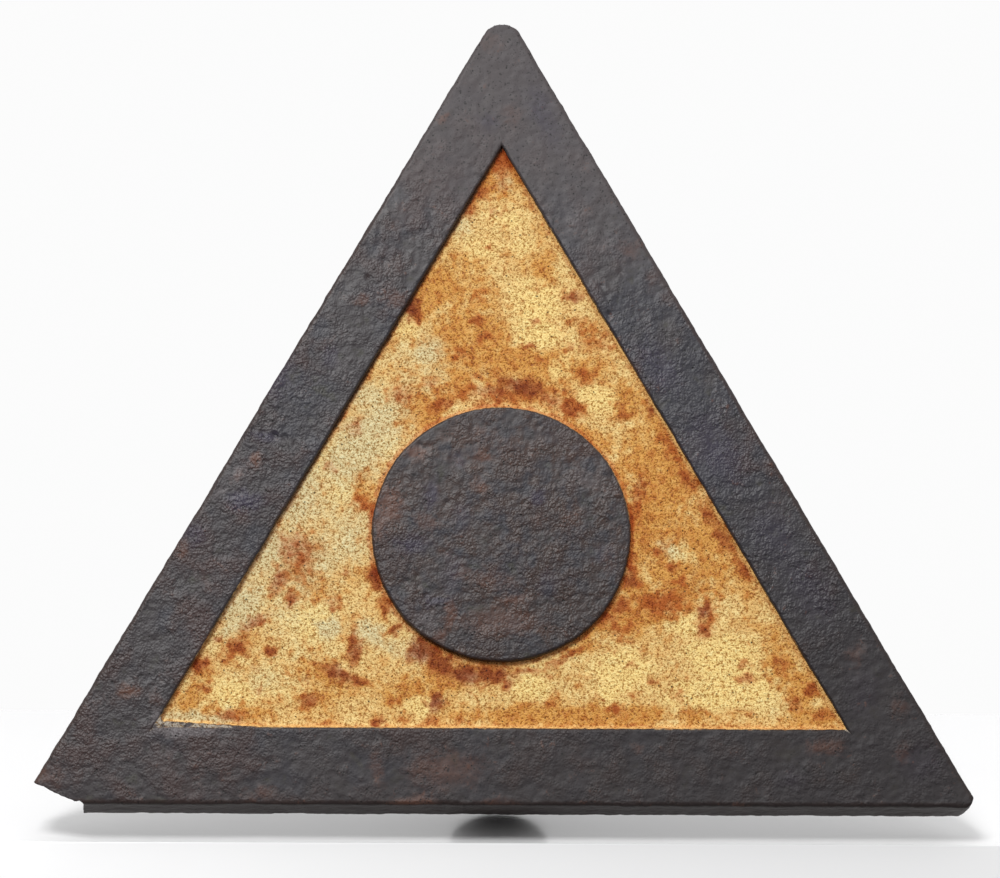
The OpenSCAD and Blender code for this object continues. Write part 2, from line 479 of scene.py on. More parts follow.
# %% Tints of the black
RUSTY = [
    (-172, 51, 5, 5, 0, 0.9), (-184, 40, 8, 4, 40, 0.5), (-222, -13, 4, 7, 0, 0.7),
    (-205, -36, 5, 10, 0, 0.4), (-257, -112, 8, 6, 0, 0.9), (-240, -116, 6, 10, 30, 0.4),
    (-318, -172, 16, 10, 0, 0.6), (-270, -118, 16, 12, 0, 0.3), (-100, 222, 8, 16, -30, 0.5),
    (-42, 298, 5, 4, 0, 0.8), (-75, 218, 6, 6, 0, 0.4), (-98, 166, 6, 5, 0, 0.6),
    (-74, 166, 9, 6, 0, 0.6), (8, 300, 8, 12, 0, 0.4), (-8, 352, 12, 8, 0, 0.4),
    (90, 202, 8, 8, 0, 0.5), (105, 180, 6, 10, 0, 0.4), (-40, -165, 30, 14, 0, 0.6),
    (-60, -189, 16, 5, 0, 0.7), (0, -189, 20, 5, 0, 0.4), (-85, -165, 6, 14, 0, 0.5),
    (-165, -182, 12, 6, 0, 0.5), (95, -150, 6, 4, 0, 0.5), (224, -149, 14, 6, 0, 0.6),
    (165, -191, 8, 3, 0, 0.8), (245, -84, 8, 7, 0, 0.5), (275, -118, 8, 8, 0, 0.5),
    (278, -152, 7, 10, 0, 0.4),
]
BLOOMS = [
    (-184, 42, 9, 5, 40, 0.8), (-196, 28, 8, 3, 30, 0.7), (-112, 118, 8, 12, 0, 0.3),
    (70, 205, 10, 12, 0, 0.4), (52, 225, 10, 14, 0, 0.4), (135, 62, 10, 12, 0, 0.3),
    (172, 66, 10, 12, 30, 0.2), (-218, -140, 24, 4, 0, 1.0), (-236, -132, 6, 7, 30, 0.8),
]
VIOLETS = [
    (-178, 22, 14, 8, 0, 0.8), (-165, 68, 12, 6, 0, 0.7), (-215, -2, 12, 10, 0, 0.6),
    (-155, 110, 14, 20, -30, 0.6), (-120, 125, 8, 10, 0, 0.5), (110, 120, 14, 26, 30, 0.6),
    (150, 60, 18, 30, 30, 0.7), (190, 0, 16, 30, 30, 0.6), (215, -40, 16, 30, 30, 0.7),
    (250, -110, 14, 20, 0, 0.6), (290, -160, 16, 14, 0, 0.8), (200, -172, 12, 8, 0, 0.7),
    (30, 300, 10, 30, 20, 0.5), (-10, 295, 8, 10, 0, 0.5),
]
DISC_RUSTY = [
    (-60, 58, 8, 6, 0, 0.9), (-13, 54, 8, 5, 0, 0.8), (-78, 20, 9, 12, 0, 1.0), (-84, 4, 5, 10, 0, 0.8),
    (-52, 8, 10, 8, 0, 0.6), (-35, -58, 5, 10, 0, 0.9), (-42, -72, 5, 6, 0, 0.8),
    (8, -46, 12, 5, 0, 0.7), (-5, -32, 18, 10, 0, 0.5), (0, -62, 34, 12, 0, 0.6),
    (-15, 34, 5, 6, 0, 0.7), (-15, 72, 6, 8, 0, 0.5), (-10, 62, 40, 18, 0, 0.3),
    (50, 12, 12, 16, 0, 0.3), (55, 55, 20, 14, 0, 0.3), (75, -20, 6, 14, 0, 0.4),
    (-25, -28, 7, 7, 0, 0.5), (25, 10, 6, 5, 0, 0.4), (80, 10, 5, 20, 0, 0.3),
]
DISC_BLOOMS = [
    (60, 38, 14, 8, 0, 0.5), (-52, -62, 12, 8, 0, 0.6), (10, 70, 34, 10, 0, 0.3),
    (70, 28, 8, 8, 0, 0.3),
]
DISC_VIOLETS = [
    (-49, 28, 6, 11, 0, 0.7), (-62, -8, 14, 8, 0, 0.7), (-34, -30, 9, 20, 0, 0.5),
    (-45, -48, 10, 5, 0, 0.8), (25, 26, 5, 8, 0, 0.7), (-27, 10, 8, 12, 0, 0.5),
    (32, -38, 8, 12, 0, 0.5), (70, -14, 8, 8, 0, 0.5), (-30, 52, 6, 8, 0, 0.5),
]


def tint(obj, points, rusty, blooms, violets):
    """Stores where rust, chalk and a violet tinge lie on the black."""
    moved = bent(points, 7 * MM, 41, 3.5 * MM)
    store(obj, "rusty", patches(moved, rusty))
    store(obj, "bloom", patches(moved, blooms))
    store(obj, "violet", patches(moved, violets))


# %% Three sides, cut at their mitres
side_square = 1.4 * MM
WHOLE_CORNERS = {
    "bottom": [(-30, foot_r)],
    "left": [(90, apex_r)],
    "right": [(90, apex_r), (-30, foot_r)],
}
CREAM_STARTS = {"bottom": -1.0 * MM, "left": 0.6 * MM, "right": -0.35 * MM}


def cut_mitres(obj, turn):
    """Cuts a side at its two mitres and closes the cuts with flat, sharp-edged faces."""
    bm = bmesh.new()
    bm.from_mesh(obj.data)
    for way in (-1, 1):
        out = Matrix.Rotation(turn, 4, "Y") @ Vector((way * 0.5, 0, math.sin(math.radians(60))))
        trim(bm, (0, 0, 0), out, FINE)
        for face in close(bm):
            for edge in face.edges:
                edge.smooth = False
    bm.to_mesh(obj.data)
    bm.free()


def paint_side(obj, name):
    """Stores where cream paint covers the side, its worn outer edge and its return edge."""
    points = points_of(obj)
    ragged = wander(points, 4 * MM, 8, 2) * 0.45 * MM
    start = CREAM_STARTS[name]
    if name == "left":
        low_down = 1 - rise(points[:, 2], -40 * MM, 50 * MM)
        start = start - low_down * 1.2 * MM
    inwards = from_side(points, TURNS[name]) - WIDTHS[name]
    paint = rise(inwards + ragged, start, start + 0.6 * MM)
    tip = rise(points[:, 2], 225 * MM, 268 * MM)
    store(obj, "paint", paint * (1 - tip) * (points[:, 1] < relief + bury))
    outer = from_rim(points)
    store(obj, "edge", 1 - rise(outer + 2 * ragged, 2 * MM, 5.5 * MM))
    store(obj, "wall", (1 - rise(outer, 0, 2 * MM)) * rise(points[:, 1], 0.8 * MM, 3 * MM))
    tint(obj, points, RUSTY, BLOOMS, VIOLETS)


def make_side(name):
    turn = TURNS[name]
    bm = level_bar(WIDTHS[name])
    for way, radius in WHOLE_CORNERS[name]:
        round_corner(bm, turn, math.radians(way), radius)
    obj = as_object(bm, name + "_side")
    reskin(obj, side_square, 2)
    obj.data.transform(Matrix.Rotation(turn, 4, "Y"))
    obj.data.update()
    weather(obj, BORDER_PITS)
    if name != "right":
        combine(obj, missing_piece(), "DIFFERENCE")
    cut_mitres(obj, turn)
    paint_side(obj, name)
    put_on_sign(obj)
    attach(obj, "root")
    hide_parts("border_" + name, "edge_" + name)
    count(obj)
    return obj


sides = [make_side(name) for name in TURNS]

# %% [markdown]
# ## The disc
#
# The disc was turned for the pattern, so it starts as a profile spun right round: flat in
# front, a small arris, and a drafted wall that runs on into the plate. The same skin and
# the same weathering as the sides, with pits of its own, make it part of the casting again.
# Cream paint shows only on its edge at the upper right, a painted highlight where the light catches it.

# %% The raised disc
DISC_PITS = [
    (-57, 62, 2, 0.4), (-31, -59, 2, 0.4), (-62, -18, 2.2, 0.5), (-66, -34, 3, 0.7),
    (-58, -30, 2.4, 0.7), (-52, -44, 3, 0.8), (-44, -52, 2.4, 0.6), (-60, -48, 2.2, 0.6),
    (-38, 22, 2.6, 0.6), (-30, 26, 2.2, 0.5), (-48, -8, 2.2, 0.5), (-70, -8, 2.4, 0.5),
    (-36, -70, 2.6, 0.6), (12, -82, 2, 0.4),
]
disc_square = 1.2 * MM


def turned(profile, steps, depth=0, height=0):
    """A shape turned on a lathe: a profile of radius and depth, spun about the depth axis."""
    bm = bmesh.new()
    corners = [bm.verts.new((x, depth + y, height)) for x, y in profile]
    lines = [bm.edges.new(pair) for pair in zip(corners, corners[1:])]
    bmesh.ops.spin(bm, geom=corners + lines, cent=(0, 0, height), axis=(0, 1, 0), dvec=(0, 0, 0),
                   angle=2 * math.pi, steps=steps, use_merge=True, use_duplicate=False)
    bmesh.ops.remove_doubles(bm, verts=bm.verts[:], dist=COARSE)
    return bm


def make_disc():
    foot = relief + bury
    profile = [(0, 0), (disc_r - inner_arris, 0), (disc_r - 0.3 * inner_arris, 0.3 * inner_arris),
               (disc_r, inner_arris), (disc_r + foot * flare, foot), (0, foot)]
    obj = as_object(turned(profile, 180), "disc")
    reskin(obj, disc_square, 3)
    weather(obj, DISC_PITS)
    points = points_of(obj)
    out = spot_gap(points, 0, 0)
    ragged = wander(points, 3.5 * MM, 8, 2) * 0.5 * MM
    # The cream on the edge is kept to the upper right, as a painted highlight.
    lit = rise(points[:, 2] + 0.35 * points[:, 0], 0.25 * disc_r, 0.8 * disc_r)
    store(obj, "paint", rise(out + ragged, disc_r - 1.0 * MM, disc_r - 0.5 * MM) * lit)
    store(obj, "edge", rise(out + 2 * ragged, disc_r - 4 * MM, disc_r - 1 * MM))
    store(obj, "wall", 0 * out)
    tint(obj, points, DISC_RUSTY, DISC_BLOOMS, DISC_VIOLETS)
    put_on_sign(obj)
    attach(obj, "root")
    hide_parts("centre_disc")
    count(obj)
    return obj


disc = make_disc()

# %% [markdown]
# ## The field
#
# The field is the front of the plate. Only its front is seen, so it starts as one fine grid,
# trimmed to the triangle just under the border and closed behind by a single flat face. A
# small fillet runs up every wall, as the pattern had, with the thick edge of the paint in it.
# In the lower left corner a smear of old paint and dirt stands on the field as a low mound,
# almost as high as the border.
#
# The stains are placed in millimetres from the middle of the disc: where each one
# is, its half width and half height, its tilt in degrees, and how rusty and how dark it is.
# The pale, warm and sunny parts have one strength each. The pits are only places, because
# all of them are alike.

# %% Stains on the field
STAINS = [
    (-145, -10, 10, 12, -20, 0.8, 0.4), (-155, -32, 6, 10, -20, 0.8, 0.5),
    (-138, -15, 8, 14, 10, 0.7, 0.25), (-145, -47, 5, 5, 0, 0.8, 0.45), (-117, -48, 5, 6, 0, 0.8, 0.35),
    (-108, -28, 4, 3, 0, 0.6, 0.5), (-118, 48, 4, 7, 0, 0.7, 0.3), (-103, 75, 6, 8, -20, 0.7, 0.2),
    (-70, 100, 9, 9, 0, 0.7, 0.3), (-50, 108, 8, 4, 20, 0.6, 0.3), (-95, 22, 7, 6, 0, 0.85, 0.15),
    (-90, 12, 4, 8, 0, 0.9, 0.3), (-88, -32, 5, 8, 30, 0.9, 0.7), (-80, -50, 5, 7, 40, 0.8, 0.5),
    (-72, -67, 5, 4, 0, 0.6, 0.6), (-55, -82, 10, 8, -40, 1.0, 1.0), (-42, -92, 13, 7, -30, 1.0, 0.8),
    (-25, -99, 13, 7, -10, 1.0, 1.0), (-6, -99, 15, 6, 0, 0.95, 0.8), (16, -96, 18, 3, 5, 0.8, 0.5),
    (45, -86, 16, 3, 28, 0.8, 0.4), (-102, -82, 5, 14, 0, 0.95, 0.7), (-113, -98, 16, 5, -25, 0.95, 0.75),
    (-100, -103, 8, 4, -10, 0.9, 0.6), (-170, -62, 12, 4, 25, 0.85, 0.5),
    (-182, -80, 8, 6, 20, 0.9, 0.65), (-190, -87, 9, 4, 20, 0.7, 0.4), (-197, -75, 4, 3, 0, 0.6, 0.5),
    (-160, -83, 5, 4, 0, 0.8, 0.6), (-170, -95, 4, 3, 0, 0.5, 0.4), (-208, -92, 6, 8, -30, 1.0, 0.6),
    (-205, -108, 6, 4, 0, 0.6, 0.4), (-168, -110, 4, 3, 0, 0.5, 0.3), (-135, -103, 5, 4, 0, 0.6, 0.4),
    (-133, -118, 8, 5, 15, 0.95, 0.55), (-186, -127, 8, 5, 0, 0.9, 0.2), (-118, -132, 5, 3, 0, 0.6, 0.3),
    (-86, -133, 6, 4, 0, 0.9, 0.6), (-66, -130, 6, 3, 0, 0.7, 0.4), (-48, -131, 5, 4, 0, 0.8, 0.5),
    (-45, -118, 6, 6, 0, 1.0, 1.0), (-28, -133, 4, 3, 0, 0.7, 0.4), (-75, -118, 5, 3, 0, 0.5, 0.3),
    (-22, -112, 4, 3, 0, 0.6, 0.4), (5, -104, 5, 6, 0, 1.0, 0.6), (33, -100, 5, 3, 0, 0.6, 0.3),
    (105, -103, 5, 3, 0, 0.7, 0.4), (92, -112, 4, 3, 0, 0.5, 0.3), (125, -115, 5, 6, 0, 0.6, 0.3),
    (170, -101, 5, 4, 0, 0.8, 0.45), (168, -90, 3, 4, 0, 0.6, 0.3), (90, -92, 3, 3, 0, 0.6, 0.3),
    (141, -53, 5, 6, 0, 1.0, 0.8), (141, -66, 5, 8, 0, 1.0, 0.5), (143, -58, 9, 15, 10, 0.7, 0.0),
    (118, -22, 5, 3, 0, 0.9, 0.5), (107, -12, 4, 5, 0, 0.7, 0.4), (125, -32, 6, 4, 0, 0.9, 0.25),
    (90, -30, 5, 6, 0, 0.8, 0.7), (84, -50, 6, 8, -25, 0.8, 0.45), (90, -64, 4, 5, 0, 0.6, 0.3),
    (113, -48, 19, 9, 0, 0.8, 0.25), (145, 15, 5, 14, 32, 0.85, 0.55), (155, -2, 5, 12, 32, 0.85, 0.6),
    (167, -22, 4, 12, 32, 0.8, 0.45), (130, 40, 7, 12, 32, 0.8, 0.4), (120, 60, 5, 10, 32, 0.8, 0.25),
    (60, 138, 10, 10, 0, 0.5, 0.2), (55, 152, 8, 6, 0, 0.5, 0.3), (70, 140, 8, 12, 30, 0.6, 0.3),
    (48, 134, 4, 3, 0, 0.7, 0.4), (22, 152, 3, 3, 0, 0.7, 0.5), (18, 134, 5, 3, 20, 0.8, 0.5),
    (27, 127, 4, 3, 0, 0.7, 0.4), (50, 170, 7, 4, 0, 0.7, 0.6), (-17, 153, 5, 4, 0, 0.9, 0.5),
    (-12, 142, 6, 4, 20, 0.8, 0.35), (-28, 128, 8, 5, 0, 0.7, 0.25), (-15, 170, 7, 6, 30, 0.6, 0.1),
    (-18, 113, 5, 3, 0, 0.6, 0.4), (15, 105, 17, 7, -15, 0.95, 0.85), (-2, 102, 20, 5, 0, 0.9, 0.6),
    (32, 98, 12, 6, -30, 0.9, 0.6), (48, 90, 10, 7, -20, 1.0, 0.5), (-40, 93, 9, 4, 25, 0.9, 0.5),
    (-64, 161, 6, 8, -30, 1.0, 1.0), (-58, 153, 5, 5, 0, 0.8, 0.5), (-15, 246, 6, 8, 30, 0.9, 0.5),
    (-5, 231, 5, 4, 0, 0.7, 0.4), (-22, 233, 6, 6, 0, 0.7, 0.3), (0, 268, 9, 14, 0, 0.95, 0.3),
    (-8, 205, 3, 3, 0, 0.7, 0.2), (82, 93, 3, 4, 0, 0.5, 0.4), (85, 85, 8, 5, 20, 0.6, 0.3),
    (104, 90, 4, 5, 0, 0.7, 0.6), (110, 68, 5, 5, 0, 0.6, 0.2), (60, 112, 7, 5, 0, 0.7, 0.2),
    (2, 101, 46, 8, 0, 0.75, 0.2), (95, 22, 4, 26, -12, 0.75, 0.25), (92, -26, 4, 16, 16, 0.8, 0.3),
    (76, -60, 5, 20, 40, 0.8, 0.35), (195, -90, 6, 10, 30, 0.6, 0.3), (203, -118, 6, 5, 0, 0.8, 0.4),
    (215, -108, 5, 5, 30, 0.9, 0.5), (221, -126, 7, 5, 0, 0.8, 0.4), (80, -122, 8, 4, 0, 0.8, 0.35),
    (90, -133, 6, 3, 0, 0.6, 0.3), (155, -135, 6, 3, 0, 0.5, 0.3), (35, -118, 6, 4, 0, 0.6, 0.25),
]
PALE = [
    (-95, 62, 18, 38, -30, 0.95), (-140, 25, 16, 22, -30, 0.95), (-165, -12, 13, 24, -30, 0.9),
    (-180, -50, 13, 24, -30, 0.9), (-190, -68, 8, 8, 0, 0.8), (-105, 0, 14, 30, 0, 0.6),
    (-120, -66, 9, 7, 0, 1.0), (-90, -70, 16, 8, -30, 0.8), (-72, -82, 14, 6, -30, 0.6),
    (-52, 130, 12, 10, 0, 0.8), (-95, 98, 14, 14, -20, 0.7), (118, -10, 10, 7, 0, 0.7),
    (2, 250, 7, 8, 0, 0.6), (-28, 222, 8, 10, -30, 0.5), (-216, -131, 34, 5, 0, 1.0),
    (-160, -104, 20, 10, 0, 0.5), (-60, 120, 30, 20, -30, 0.4), (-130, -10, 34, 60, -30, 0.5),
]
WARM = [
    (-25, 145, 30, 26, 0, 0.8), (-50, 172, 14, 18, -30, 0.8), (-20, 195, 14, 10, 0, 0.5),
    (30, 190, 10, 14, 0, 0.7), (0, 120, 42, 12, 0, 1.0), (-55, 86, 18, 13, 40, 0.9),
    (62, 64, 12, 18, 40, 1.0), (100, 35, 26, 28, 0, 1.0), (115, 3, 36, 22, 0, 1.0),
    (130, -30, 28, 16, 0, 1.0), (105, -47, 32, 16, 0, 1.0), (86, 95, 16, 16, 0, 0.6),
    (120, 70, 10, 30, 30, 0.8), (-60, -108, 32, 12, 0, 0.6), (60, -127, 74, 8, 0, 1.0),
    (-190, -126, 24, 9, 0, 0.8), (-212, -115, 10, 16, -30, 0.9), (200, -100, 12, 32, 30, 0.7),
    (214, -128, 22, 8, 0, 0.7), (-130, -100, 22, 26, 0, 0.4), (-128, -13, 9, 8, 0, 1.0),
    (-135, -34, 16, 12, 0, 0.6), (0, 265, 16, 18, 0, 1.0), (-100, 40, 10, 16, -30, 0.3),
    (70, -68, 20, 10, 30, 0.7),
]
SUNNY = [
    (155, -85, 22, 14, 0, 1.0), (166, -106, 20, 12, 0, 1.0), (140, -111, 24, 10, 0, 0.9),
    (86, -96, 18, 13, 0, 0.9), (76, -109, 10, 8, 0, 0.8), (20, -108, 12, 10, 0, 0.7),
    (-55, -121, 14, 6, 0, 0.7), (-185, -112, 18, 8, 0, 0.8), (-155, -106, 16, 10, 0, 0.6),
    (26, 166, 14, 16, 0, 0.9), (26, 145, 14, 12, 0, 0.9), (-15, 203, 14, 10, 0, 0.4),
    (5, 226, 12, 7, 0, 0.4), (40, 120, 14, 10, 0, 0.7), (68, 98, 12, 9, 0, 0.8),
    (-68, 146, 8, 8, 0, 0.7), (-86, 63, 10, 8, 0, 0.7), (-110, 30, 8, 10, 0, 0.7),
    (-130, -61, 14, 14, 0, 0.7), (128, -62, 10, 8, 0, 0.7), (124, -10, 8, 6, 0, 0.8),
    (-98, 55, 8, 10, 0, 0.6), (15, 205, 12, 8, 0, 0.3),
]
FIELD_PITS = [
    (-132, -102), (-136, -104), (-98, 33), (60, -96), (-178, -97), (130, -84), (21, 176), (-37, 128),
]


# %% The field's surface
field_square = 1.25 * MM
under = 4 * MM
field_t = 5 * MM
fillet = 2.2 * MM
smear_top = relief - 1.1 * MM


def trimmed_grid(depth, inset, square):
    """A fine upright grid, trimmed to the triangle whose sides lie in by inset."""
    bm = bmesh.new()
    reach = 2 * inradius
    upright = Matrix.Translation((0, depth, inradius / 2)) @ Matrix.Rotation(math.radians(90), 4, "X")
    steps = int(2 * reach / square)
    bmesh.ops.create_grid(bm, x_segments=steps, y_segments=steps, size=reach, matrix=upright)
    for turn in TURNS.values():
        out = Matrix.Rotation(turn, 4, "Y") @ Vector((0, 0, -1))
        trim(bm, out * (inradius - inset), out, FINE)
    return bm


def close_behind(bm, thickness):
    """Gives a sheet a thickness, with one flat face behind."""
    rim = [e for e in bm.edges if e.is_boundary]
    push_on(bm, bmesh.ops.extrude_edge_only(bm, edges=rim), (0, thickness, 0))
    close(bm)


def wall_fillet(away, radius):
    """How high a hollow fillet stands at a distance from the wall that it runs up."""
    gap = np.clip(radius - away, 0, radius)
    return radius - np.sqrt(radius * radius - gap * gap)


def field_gaps(points):
    """How far each point lies from each wall, from the nearest one and from the disc.

    "low" is the lower wall's edge as it is seen: at the left, the smear lifts it by 4.2 mm.
    """
    gaps = {name: from_side(points, turn) - WIDTHS[name] for name, turn in TURNS.items()}
    gaps["wall"] = np.minimum.reduce(list(gaps.values())) - relief * flare
    gaps["disc"] = spot_gap(points, 0, 0) - disc_r - relief * flare
    left_part = 1 - rise(points[:, 0], -245 * MM, -150 * MM)
    gaps["low"] = gaps["bottom"] - 4.2 * MM * left_part
    return gaps


# %% Paint and dirt on the field
def store_stains(obj, points):
    """Stores where the field is stained, pale, warm or sunny, and returns its rust."""
    moved = bent(points, 7 * MM, 21, 3.2 * MM)
    rust = patches(moved, STAINS, 5)
    store(obj, "rust", rust)
    store(obj, "dark", patches(moved, STAINS, 6))
    for name, spots in (("pale", PALE), ("warm", WARM), ("sunny", SUNNY)):
        store(obj, name, patches(moved, spots))
    return rust


def store_edges(obj, points, gaps):
    """Stores the rust at the foot of every wall, the painted shadow along the left wall, and the painted
    light over the thick cream along the right and lower walls.
    """
    wall_gap = gaps["wall"] + wander(points, 5 * MM, 23, 2) * 0.9 * MM
    disc_gap = gaps["disc"] + wander(points, 9 * MM, 28, 2) * 1.5 * MM
    around = 1 - rise(disc_gap, 0, 5 * MM)
    store(obj, "foot", np.maximum(1 - rise(wall_gap, 0, 5 * MM), 1.35 * around))
    # A painted shadow, with some grime, along the left wall, strongest high up.
    left_gap = gaps["left"] + wander(points, 4 * MM, 24, 2) * 0.8 * MM
    high_up = rise(points[:, 2], -30 * MM, 60 * MM)
    shaded = 1 - rise(left_gap, 0.4 * MM, 1.8 * MM)
    store(obj, "shadow_wall", shaded * (0.15 + 0.85 * high_up))
    # Painted light along the right and lower walls, over the thick cream at their foot.
    lit_gap = np.minimum(gaps["right"], gaps["low"]) + wander(points, 5 * MM, 26, 2) * MM
    tip = rise(points[:, 2], 215 * MM, 262 * MM)
    store(obj, "bright", (1 - rise(lit_gap, 0.6 * MM, 2.2 * MM)) * (1 - tip))


def corner_smear(points, gaps):
    """How far the smear in the lower left corner covers each point."""
    corner_gap = gaps["left"] + gaps["bottom"] - 7 * MM
    smear_gap = np.minimum(gaps["low"], corner_gap) + wander(points, 3 * MM, 27) * 0.7 * MM
    return 1 - rise(smear_gap, -1.8 * MM, 0.6 * MM)


# %% The dressed field
def field_push(points, gaps, rust, mound):
    """How far each point of the field stands forward of the flat plate."""
    blister = rust * (0.12 + 0.16 * wander(points, 3.5 * MM, 25, 2)) * MM
    push = sand(points) * 0.75 - 0.15 * MM + blister
    for x, z in FIELD_PITS:
        push -= 0.9 * MM * (1 - rise(spot_gap(points, x, z), 0.4 * MM, 2.0 * MM))
    push = push * (1 - mound) + mound * smear_top
    at_walls = (1 - mound) * wall_fillet(gaps["wall"], fillet)
    at_disc = wall_fillet(gaps["disc"], 0.7 * fillet) * (gaps["disc"] > -bury)
    return push + (at_walls + at_disc)


def make_field():
    bm = trimmed_grid(relief, border_w - under, field_square)
    close_behind(bm, field_t)
    obj = as_object(bm, "field")
    points = points_of(obj)
    front = points[:, 1] < relief + 0.1 * MM
    gaps = field_gaps(points)
    rust = store_stains(obj, points)
    store_edges(obj, points, gaps)
    mound = corner_smear(points, gaps)
    store(obj, "mound", mound)
    points[:, 1] -= np.where(front, field_push(points, gaps, rust, mound), 0)
    place_points(obj, points)
    put_on_sign(obj)
    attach(obj, "root")
    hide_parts("face_plate")
    count(obj)
    return obj


field = make_field()

# %% [markdown]
# ## The back
#
# Behind, the casting is plain iron work: the plate, a spine and two side ribs that run out
# to the return edge, and the socket with its saddle. On the pattern all of these were
# rounded into each other. Closed blocks that overlap become one skin under the Remesh
# modifier, and a few turns of smoothing draw the fillets in at their feet. The broken corner
# is cut only from that finished skin, because an exact boolean may drop parts of a shape
# whose blocks overlap. The bore and the screw holes are cut last, and stay true to size.

# %% Blocks of the back
rib_t = 9.5 * MM
rib_rise = math.radians(30)
rib_tip = edge_depth - plate_back - 4 * MM
slab_t = 6 * MM
rib_low = 74 * MM - centre_z

socket_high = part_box("post_socket")[1]
axis_y = -face_y
mouth_z = -centre_z
top_z = socket_high.z - centre_z
collar_r = socket_high.x
boss_face = socket_high.y
wall_t = 7.5 * MM
saddle_w = 52 * MM
collar_h = 13 * MM
boss_r = 14.5 * MM
hole_r = 6.6 * MM
spine_root = 44 * MM
rib_root = 38 * MM
into_edge = 4 * MM
bore = frame["record"]["mounts"][0]["dims"]
bore_r = bore["r_mm"] * MM
bore_depth = bore["length_mm"] * MM
screw_low, screw_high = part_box("set_screws")
head_w = screw_high.x - screw_low.x
screw_heights = [screw_low.z + head_w / 2 - centre_z, screw_high.z - head_w / 2 - centre_z]


def rib_outline(length, root):
    """A rib seen from its side, as pairs of height above the plate and length."""
    steps = 12
    curve = [(rib_tip + (root - rib_tip) * (1 - i / steps) ** 2, length * i / steps)
             for i in range(steps + 1)]
    end = length + into_edge
    return [(-slab_t / 2, 0)] + curve + [(rib_tip, end), (-slab_t / 2, end)]


def add_rib(bm, low, turn, length, root):
    """A rib from the middle line, turned about the depth axis, upright at turn 0."""
    points = [(-rib_t / 2, plate_back + y, z) for y, z in rib_outline(length, root)]
    verts = sweep(bm, points, (rib_t, 0, 0))
    bmesh.ops.rotate(bm, verts=verts, cent=(0, 0, 0), matrix=Matrix.Rotation(turn, 3, "Y"))
    bmesh.ops.translate(bm, verts=verts, vec=(0, 0, low))


def add_box(bm, low, high):
    size = Vector(high) - Vector(low)
    place = Matrix.Translation((Vector(low) + Vector(high)) / 2) @ Matrix.Diagonal((*size, 1))
    bmesh.ops.create_cube(bm, size=1, matrix=place)


def add_round(bm, radius, start, end, segments=64):
    """A plain cylinder between two points."""
    axis = Vector(end) - Vector(start)
    turn = axis.to_track_quat("Z", "Y").to_matrix().to_4x4()
    place = Matrix.Translation((Vector(start) + Vector(end)) / 2) @ turn
    bmesh.ops.create_cone(bm, cap_ends=True, segments=segments, radius1=radius, radius2=radius,
                          depth=axis.length, matrix=place)


def round_block(name, radius, start, end):
    bm = bmesh.new()
    add_round(bm, radius, start, end, 128)
    return as_object(bm, name)


# %% The skin of the back
back_square = 1.7 * MM
back_fillet = 5 * MM


def back_blocks():
    bm = bmesh.new()
    reach = 2 * (inradius - edge_t + 3 * MM)
    corners = [(reach * math.sin(a), plate_back - slab_t, reach * math.cos(a)) for a in TURNS.values()]
    sweep(bm, corners, (0, slab_t, 0))
    for way in (90, -30):
        out = Vector((math.cos(math.radians(way)), 0, math.sin(math.radians(way))))
        trim(bm, out * (2 * inradius - apex_r - 4 * MM), out, COARSE)
        close(bm)
    spine = 2 * inradius - 2 * edge_t - top_z + rib_t
    add_rib(bm, top_z - rib_t, 0, spine, spine_root)
    slope = math.radians(30)
    length = (2 * inradius - rib_low) * math.sin(slope) / math.cos(rib_rise - slope)
    for way in (-1, 1):
        add_rib(bm, rib_low, way * (math.radians(90) - rib_rise), length - edge_t, rib_root)
    add_box(bm, (-saddle_w / 2, plate_back - slab_t / 2, mouth_z), (saddle_w / 2, axis_y, top_z))
    add_round(bm, bore_r + wall_t, (0, axis_y, mouth_z), (0, axis_y, top_z))
    add_round(bm, collar_r, (0, axis_y, mouth_z), (0, axis_y, mouth_z + collar_h))
    for height in screw_heights:
        add_round(bm, boss_r, (0, axis_y, height), (0, axis_y + boss_face, height))
    return as_object(bm, "back_casting")


def flatten_front(obj):
    """Cuts the skin flat where it meets the plate's front part."""
    bm = bmesh.new()
    bm.from_mesh(obj.data)
    trim(bm, (0, plate_back - slab_t / 2, 0), (0, -1, 0), FINE)
    close(bm)
    bm.to_mesh(obj.data)
    bm.free()


def bore_holes(obj):
    """Cuts the bore for the post and the two holes for the screws."""
    holes = [(bore_r, (0, axis_y, mouth_z - spare), (0, axis_y, mouth_z + bore_depth))]
    for height in screw_heights:
        start = (0, axis_y + bore_r - 3 * MM, height)
        holes.append((hole_r, start, (0, axis_y + boss_face + spare, height)))
    for radius, start, end in holes:
        combine(obj, round_block("hole", radius, start, end), "DIFFERENCE")


def make_back():
    obj = back_blocks()
    reskin(obj, back_square, 5)
    weather(obj, rough=1.15)
    combine(obj, missing_piece(), "DIFFERENCE")
    points = points_of(obj)
    above = points[:, 1] - plate_back
    on_plate = (above < 1.5 * MM) * (above > -3 * MM)
    points[:, 1] += wall_fillet(from_rim(points) - edge_t, back_fillet) * on_plate
    place_points(obj, points)
    flatten_front(obj)
    bore_holes(obj)
    put_on_sign(obj)
    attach(obj, "root")
    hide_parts("face_plate", "spine_rib", "rib_left", "rib_right", "post_socket")
    count(obj)
    return obj


back_casting = make_back()

# %% [markdown]
# ## Set screws and lock nuts
#
# Two square-headed screws grip the post. A square head is a cube with its edges bevelled.
# The thread is a true helix: the shank is a finely divided cylinder, and each of its points
# is drawn in by how far it lies round and along the pitch. Each nut is a hexagon that a
# turned blank has chamfered, with its hole bored through.

# %% The screws
pitch = 2.1 * MM
thread_h = 0.9 * MM
shank_r = 6.2 * MM
point_l = 1.6 * MM
point_in = 1.4 * MM
tip_y = screw_low.y
head_y = screw_high.y - 11 * MM


